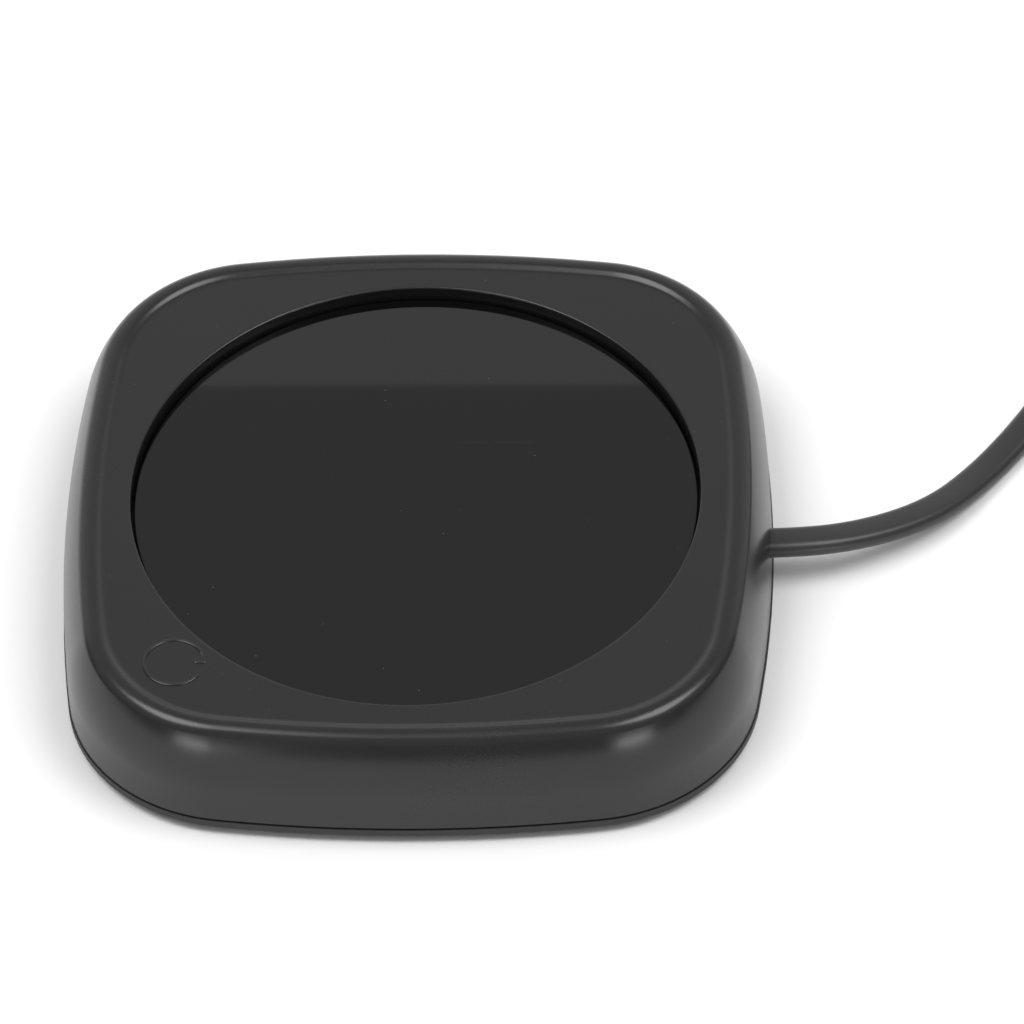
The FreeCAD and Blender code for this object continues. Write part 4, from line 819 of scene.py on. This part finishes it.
def metal(name, colour, roughness, stretch=(1.0, 1.0, 1.0), grain=700.0):
    shader = Shader(name, colour, roughness, metallic=1.0)
    streaks = shader.noise(grain, 3.0, stretch)
    shader.vary_roughness((streaks - 0.5) * 0.25 + roughness)
    shader.vary_colour((streaks - 0.45).clamped() * 0.6, tuple(part * 0.8 for part in colour))
    shader.bump(streaks, 0.00001)
    return shader.material


def glass_plate(name, colour):
    """Polished black glass with faint smears and a few fine specks."""
    shader = Shader(name, colour, 0.04, ior=1.5)
    smear = shader.noise(28.0, 4.0, (1.0, 0.35, 1.0))
    shader.vary_roughness((smear - 0.45).clamped() * 0.04 + 0.012)
    # One fine scratch along X, its places in metres from the middle.
    hairline = shader.near("Y", 0.0151, 0.00004) * shader.near("X", 0.0163, 0.0088)
    marks = shader.specks(260.0, 0.024) * 0.6 + hairline * shader.noise(700.0, 1.0).over(0.42) * 0.06
    shader.vary_colour(marks, (0.2, 0.2, 0.2))
    return shader.material


def woven(name, colour):
    shader = Shader(name, colour, 0.85)
    weave = shader.waves(900.0, "X", 1.0) * shader.waves(900.0, "Y", 1.0)
    fibres = shader.noise(3000.0, 4.0)
    shader.bump(weave + fibres * 0.5, 0.00012)
    shader.vary_colour(weave, tuple(part * 1.8 for part in colour))
    return shader.material


def foil_film(name, colour):
    """Amber film with its etched heating track in rings."""
    shader = Shader(name, colour, 0.35)
    node = shader.tree.nodes.new("ShaderNodeTexWave")
    node.wave_type = "RINGS"
    node.rings_direction = "Z"
    node.inputs["Scale"].default_value = 75.0
    node.inputs["Distortion"].default_value = 0.0
    shader.tree.links.new(shader.place, node.inputs["Vector"])
    track = Socket(shader.tree, node.outputs["Fac"]).over(0.45)
    shader.vary_colour(track, (0.45, 0.2, 0.09))
    shader.vary_roughness(track * 0.2 + 0.25)
    return shader.material


materials = {}


def make_materials(look):
    """One procedural material for each of the record's slots, and one for the power mark."""
    materials.update({
        "housing": moulded("satin_housing", look.housing, look.housing_roughness, dust=0.35),
        "mark": moulded("mark_line", look.housing, 0.22),
        "base": moulded("matt_base", (0.012, 0.012, 0.0125), 0.48, grain=1800.0, depth=0.00002),
        "glass": glass_plate("black_glass", look.glass),
        "foot": moulded("foot_rubber", (0.035, 0.035, 0.036), 0.75, grain=1500.0, depth=0.00004),
        "silicone": moulded("silicone", (0.30, 0.06, 0.035), 0.6),
        "aluminium": metal("rolled_aluminium", (0.75, 0.75, 0.76), 0.35, (1.0, 30.0, 1.0)),
        "film": foil_film("heater_film", (0.42, 0.16, 0.03)),
        "felt": woven("pressed_fibre", (0.62, 0.60, 0.55)),
        "carrier": moulded("carrier_plastic", (0.06, 0.06, 0.06), 0.5),
        "steel": metal("zinc_steel", (0.58, 0.58, 0.60), 0.32),
        "wire": metal("spring_wire", (0.60, 0.59, 0.57), 0.28),
        "thermostat": metal("thermostat_case", (0.62, 0.60, 0.56), 0.3),
        "fuse": metal("fuse_case", (0.75, 0.60, 0.32), 0.3),
        "brass": metal("stamped_brass", (0.72, 0.55, 0.26), 0.33),
        "nickel": metal("nickel_plate", (0.72, 0.70, 0.66), 0.22),
        "switch": moulded("switch_case", (0.02, 0.02, 0.022), 0.45),
        "plunger": moulded("plunger", (0.5, 0.05, 0.03), 0.4),
        "board": moulded("solder_mask", (0.015, 0.13, 0.05), 0.35),
        "led": moulded("led_lens", (0.85, 0.25, 0.07), 0.15),
        "resistor": moulded("resistor_coat", (0.45, 0.34, 0.2), 0.4),
        "guide": moulded("frosted_guide", (0.8, 0.81, 0.82), 0.4),
        "live": moulded("live_sleeve", (0.16, 0.05, 0.02), 0.4),
        "neutral": moulded("neutral_sleeve", (0.02, 0.06, 0.32), 0.4),
        "thin": moulded("thin_sleeve", (0.6, 0.6, 0.58), 0.4),
        "splice": moulded("splice_sleeve", (0.7, 0.7, 0.66), 0.45),
        "cord": moulded("cord_jacket", look.cord, 0.34, grain=1500.0, depth=0.00001),
        "tie": woven("hook_strap", (0.012, 0.012, 0.012)),
    })


NODE_MATERIALS = {
    "base": ["bottom_cover", "cord_clamp"],
    "foot": ["foot_front_left", "foot_front_right", "foot_rear_left", "foot_rear_right"],
    "silicone": ["plate_seal"],
    "aluminium": ["heat_spreader"],
    "film": ["heater_film"],
    "felt": ["insulation_pad"],
    "carrier": ["plate_carrier"],
    "wire": ["return_spring_1", "return_spring_2", "return_spring_3"],
    "steel": ["board_screws", "clamp_screws"],
    "thermostat": ["thermostat"],
    "fuse": ["thermal_fuse"],
    "switch": ["switch_body"],
    "plunger": ["switch_plunger"],
    "brass": ["switch_terminals"],
    "board": ["circuit_board"],
    "led": ["indicator_led"],
    "resistor": ["board_resistor"],
    "guide": ["light_guide"],
    "live": ["live_lead", "switch_lead", "live_riser"],
    "neutral": ["neutral_lead", "neutral_riser"],
    "thin": ["board_leads"],
    "splice": ["lead_splices"],
}


class FinishNodes(bpy.types.Operator):
    """Gives each piece kept from the frame its material and smooth shading"""

    bl_idname = "warmer.finish_nodes"
    bl_label = "Finish the frame's pieces"

    def execute(self, context):
        for key, names in NODE_MATERIALS.items():
            for name in names:
                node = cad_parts[name]
                node.data.materials.clear()
                node.data.materials.append(materials[key])
                smooth(node.data, 30)
        return {"FINISHED"}


class MakeMaterials(bpy.types.Operator):
    """Makes the materials"""

    bl_idname = "warmer.make_materials"
    bl_label = "Make materials"

    def execute(self, context):
        make_materials(context.scene.warmer_look)
        return {"FINISHED"}


# Stage

CAMERA_REACH = (0.1, 20.0)
CAMERA_SHIFT = (0.0004, 0.0003)

# Soft boxes: name, azimuth and elevation in degrees, distance, width and height in metres, radiance.
PANELS = [
    ("left_box", -98, 66, 2.6, 1.3, 1.3, 5.4),
    ("right_box", 98, 63, 2.6, 1.3, 1.3, 5.4),
    ("front_left", -152, 3, 2.8, 1.0, 0.4, 6.5),
    ("front_right", 148, 3, 2.8, 1.0, 0.4, 6.8),
]


class SetCamera(bpy.types.Operator):
    """Sets the camera where the photograph was taken from"""

    bl_idname = "warmer.set_camera"
    bl_label = "Set camera"

    def execute(self, context):
        s = context.scene.warmer_stage
        camera = bpy.data.cameras.new("camera")
        camera.lens = s.lens
        camera.sensor_width = 36.0
        camera.clip_start, camera.clip_end = CAMERA_REACH
        camera.shift_x, camera.shift_y = CAMERA_SHIFT
        obj = bpy.data.objects.new("camera", camera)
        context.scene.collection.objects.link(obj)
        sine, cosine = math.sin(s.camera_turn), math.cos(s.camera_turn)
        level = math.cos(s.camera_pitch)
        forward = Vector((sine * level, cosine * level, -math.sin(s.camera_pitch)))
        right = Vector((cosine, -sine, 0))
        up = right.cross(forward)
        turn, lean = math.cos(s.camera_roll), math.sin(s.camera_roll)
        axes = Matrix((right * turn + up * lean, up * turn - right * lean, -forward)).transposed()
        obj.matrix_world = Matrix.Translation(Vector(s.camera_place)) @ axes.to_4x4()
        context.scene.camera = obj
        return {"FINISHED"}


def panel_light(name, azimuth, elevation, distance, width, height, radiance):
    """A soft area light that faces the object. Azimuth 0 is +Y and 90 is +X, in degrees."""
    a, e = math.radians(azimuth), math.radians(elevation)
    way = Vector((math.sin(a) * math.cos(e), math.cos(a) * math.cos(e), math.sin(e)))
    light = bpy.data.lights.new(name, "AREA")
    light.shape = "RECTANGLE"
    light.size, light.size_y = width, height
    light.energy = radiance * math.pi * width * height
    obj = bpy.data.objects.new(name, light)
    obj.location = way * distance
    obj.rotation_euler = way.to_track_quat("Z", "Y").to_euler()
    bpy.context.scene.collection.objects.link(obj)


def lit_and_white(tree, shader_kind, light):
    """Links a shader that lights with a strength, but that the camera sees plain white."""
    path = tree.nodes.new("ShaderNodeLightPath")
    white, lit = tree.nodes.new(shader_kind), tree.nodes.new(shader_kind)
    mix = tree.nodes.new("ShaderNodeMixShader")
    if isinstance(light, Socket):
        tree.links.new(light.output, lit.inputs["Strength"])
    else:
        lit.inputs["Strength"].default_value = light
    tree.links.new(path.outputs["Is Camera Ray"], mix.inputs[0])
    tree.links.new(lit.outputs[0], mix.inputs[1])
    tree.links.new(white.outputs[0], mix.inputs[2])
    for node in (white, lit):
        node.inputs["Color"].default_value = (1, 1, 1, 1)
    return mix


def glowing(name, strength):
    """A material that lights the object, and that the camera sees plain white."""
    material = bpy.data.materials.new(name)
    material.use_nodes = True
    tree = material.node_tree
    tree.nodes.clear()
    output = tree.nodes.new("ShaderNodeOutputMaterial")
    mix = lit_and_white(tree, "ShaderNodeEmission", strength)
    tree.links.new(mix.outputs[0], output.inputs["Surface"])
    return material


def room_light(low, high):
    """A room that is dim at the horizon and lighter overhead."""
    world = bpy.data.worlds.new("room")
    world.use_nodes = True
    tree = world.node_tree
    tree.nodes.clear()
    output = tree.nodes.new("ShaderNodeOutputWorld")
    coordinates = tree.nodes.new("ShaderNodeTexCoord")
    split = tree.nodes.new("ShaderNodeSeparateXYZ")
    tree.links.new(coordinates.outputs["Generated"], split.inputs[0])
    rise = (Socket(tree, split.outputs["Z"]) * 2.5).clamped() * (high - low) + low
    mix = lit_and_white(tree, "ShaderNodeBackground", rise)
    tree.links.new(mix.outputs[0], output.inputs["Surface"])
    return world


def stage_plane(name, corners, material):
    """A flat piece of the stage from its corners."""
    bm = bmesh.new()
    bm.faces.new([bm.verts.new(corner) for corner in corners])
    mesh = bpy.data.meshes.new(name)
    bm.to_mesh(mesh)
    bm.free()
    obj = bpy.data.objects.new(name, mesh)
    bpy.context.scene.collection.objects.link(obj)
    obj.data.materials.append(material)


class SetStage(bpy.types.Operator):
    """Lays the white floor, stands the backdrop and hangs the lights"""

    bl_idname = "warmer.set_stage"
    bl_label = "Set stage"

    def execute(self, context):
        floor = Shader("floor_paper", (0.9, 0.9, 0.9), 0.9, specular=0.0)
        grain = floor.noise(60.0, 2.0)
        floor.vary_colour((grain - 0.5).clamped() * 0.1, (0.88, 0.88, 0.88))
        wide, front, back = 4.5, -4.0, 3.0
        # The backdrop's upper edge stands where the glass mirrors it.
        edge = 3.131
        foot = [(wide, back, 0), (-wide, back, 0)]
        stage_plane("floor", [(-wide, front, 0), (wide, front, 0), *foot], floor.material)
        stage_plane("backdrop", [*reversed(foot), (wide, back, edge), (-wide, back, edge)],
                    glowing("backdrop_light", 0.86))
        for panel in PANELS:
            panel_light(*panel)
        context.scene.world = room_light(0.06, 0.54)
        context.scene.view_settings.view_transform = "Standard"
        return {"FINISHED"}


OPERATORS = [
    MakeMaterials, SetCamera, AddCord, AddCover, AddPlate, AddMark, AddScrews, FinishNodes, SetStage,
]


class WarmerPanel(bpy.types.Panel):
    """Lists the steps that build the looks"""

    bl_idname = "VIEW3D_PT_mug_warmer"
    bl_label = "Mug warmer"
    bl_space_type = "VIEW_3D"
    bl_region_type = "UI"
    bl_category = "Mug warmer"

    def draw(self, context):
        for group in GROUPS:
            settings = getattr(context.scene, group)
            box = self.layout.box()
            for key in settings.bl_rna.properties.keys():
                if key not in ("rna_type", "name"):
                    box.prop(settings, key)
        for operator in OPERATORS:
            self.layout.operator(operator.bl_idname)


CLASSES = list(GROUPS.values()) + OPERATORS + [WarmerPanel]


def register():
    for item in CLASSES:
        bpy.utils.register_class(item)
    for key, group in GROUPS.items():
        setattr(bpy.types.Scene, key, PointerProperty(type=group))


def unregister():
    for key in GROUPS:
        delattr(bpy.types.Scene, key)
    for item in reversed(CLASSES):
        bpy.utils.unregister_class(item)


def main():
    register()
    bpy.ops.warmer.make_materials()
    bpy.ops.warmer.set_camera()
    bpy.ops.warmer.add_cord()
    bpy.ops.warmer.add_cover()
    bpy.ops.warmer.add_plate()
    bpy.ops.warmer.add_mark()
    bpy.ops.warmer.add_screws()
    bpy.ops.warmer.finish_nodes()
    bpy.ops.warmer.set_stage()


if __name__ == "__main__":
    main()
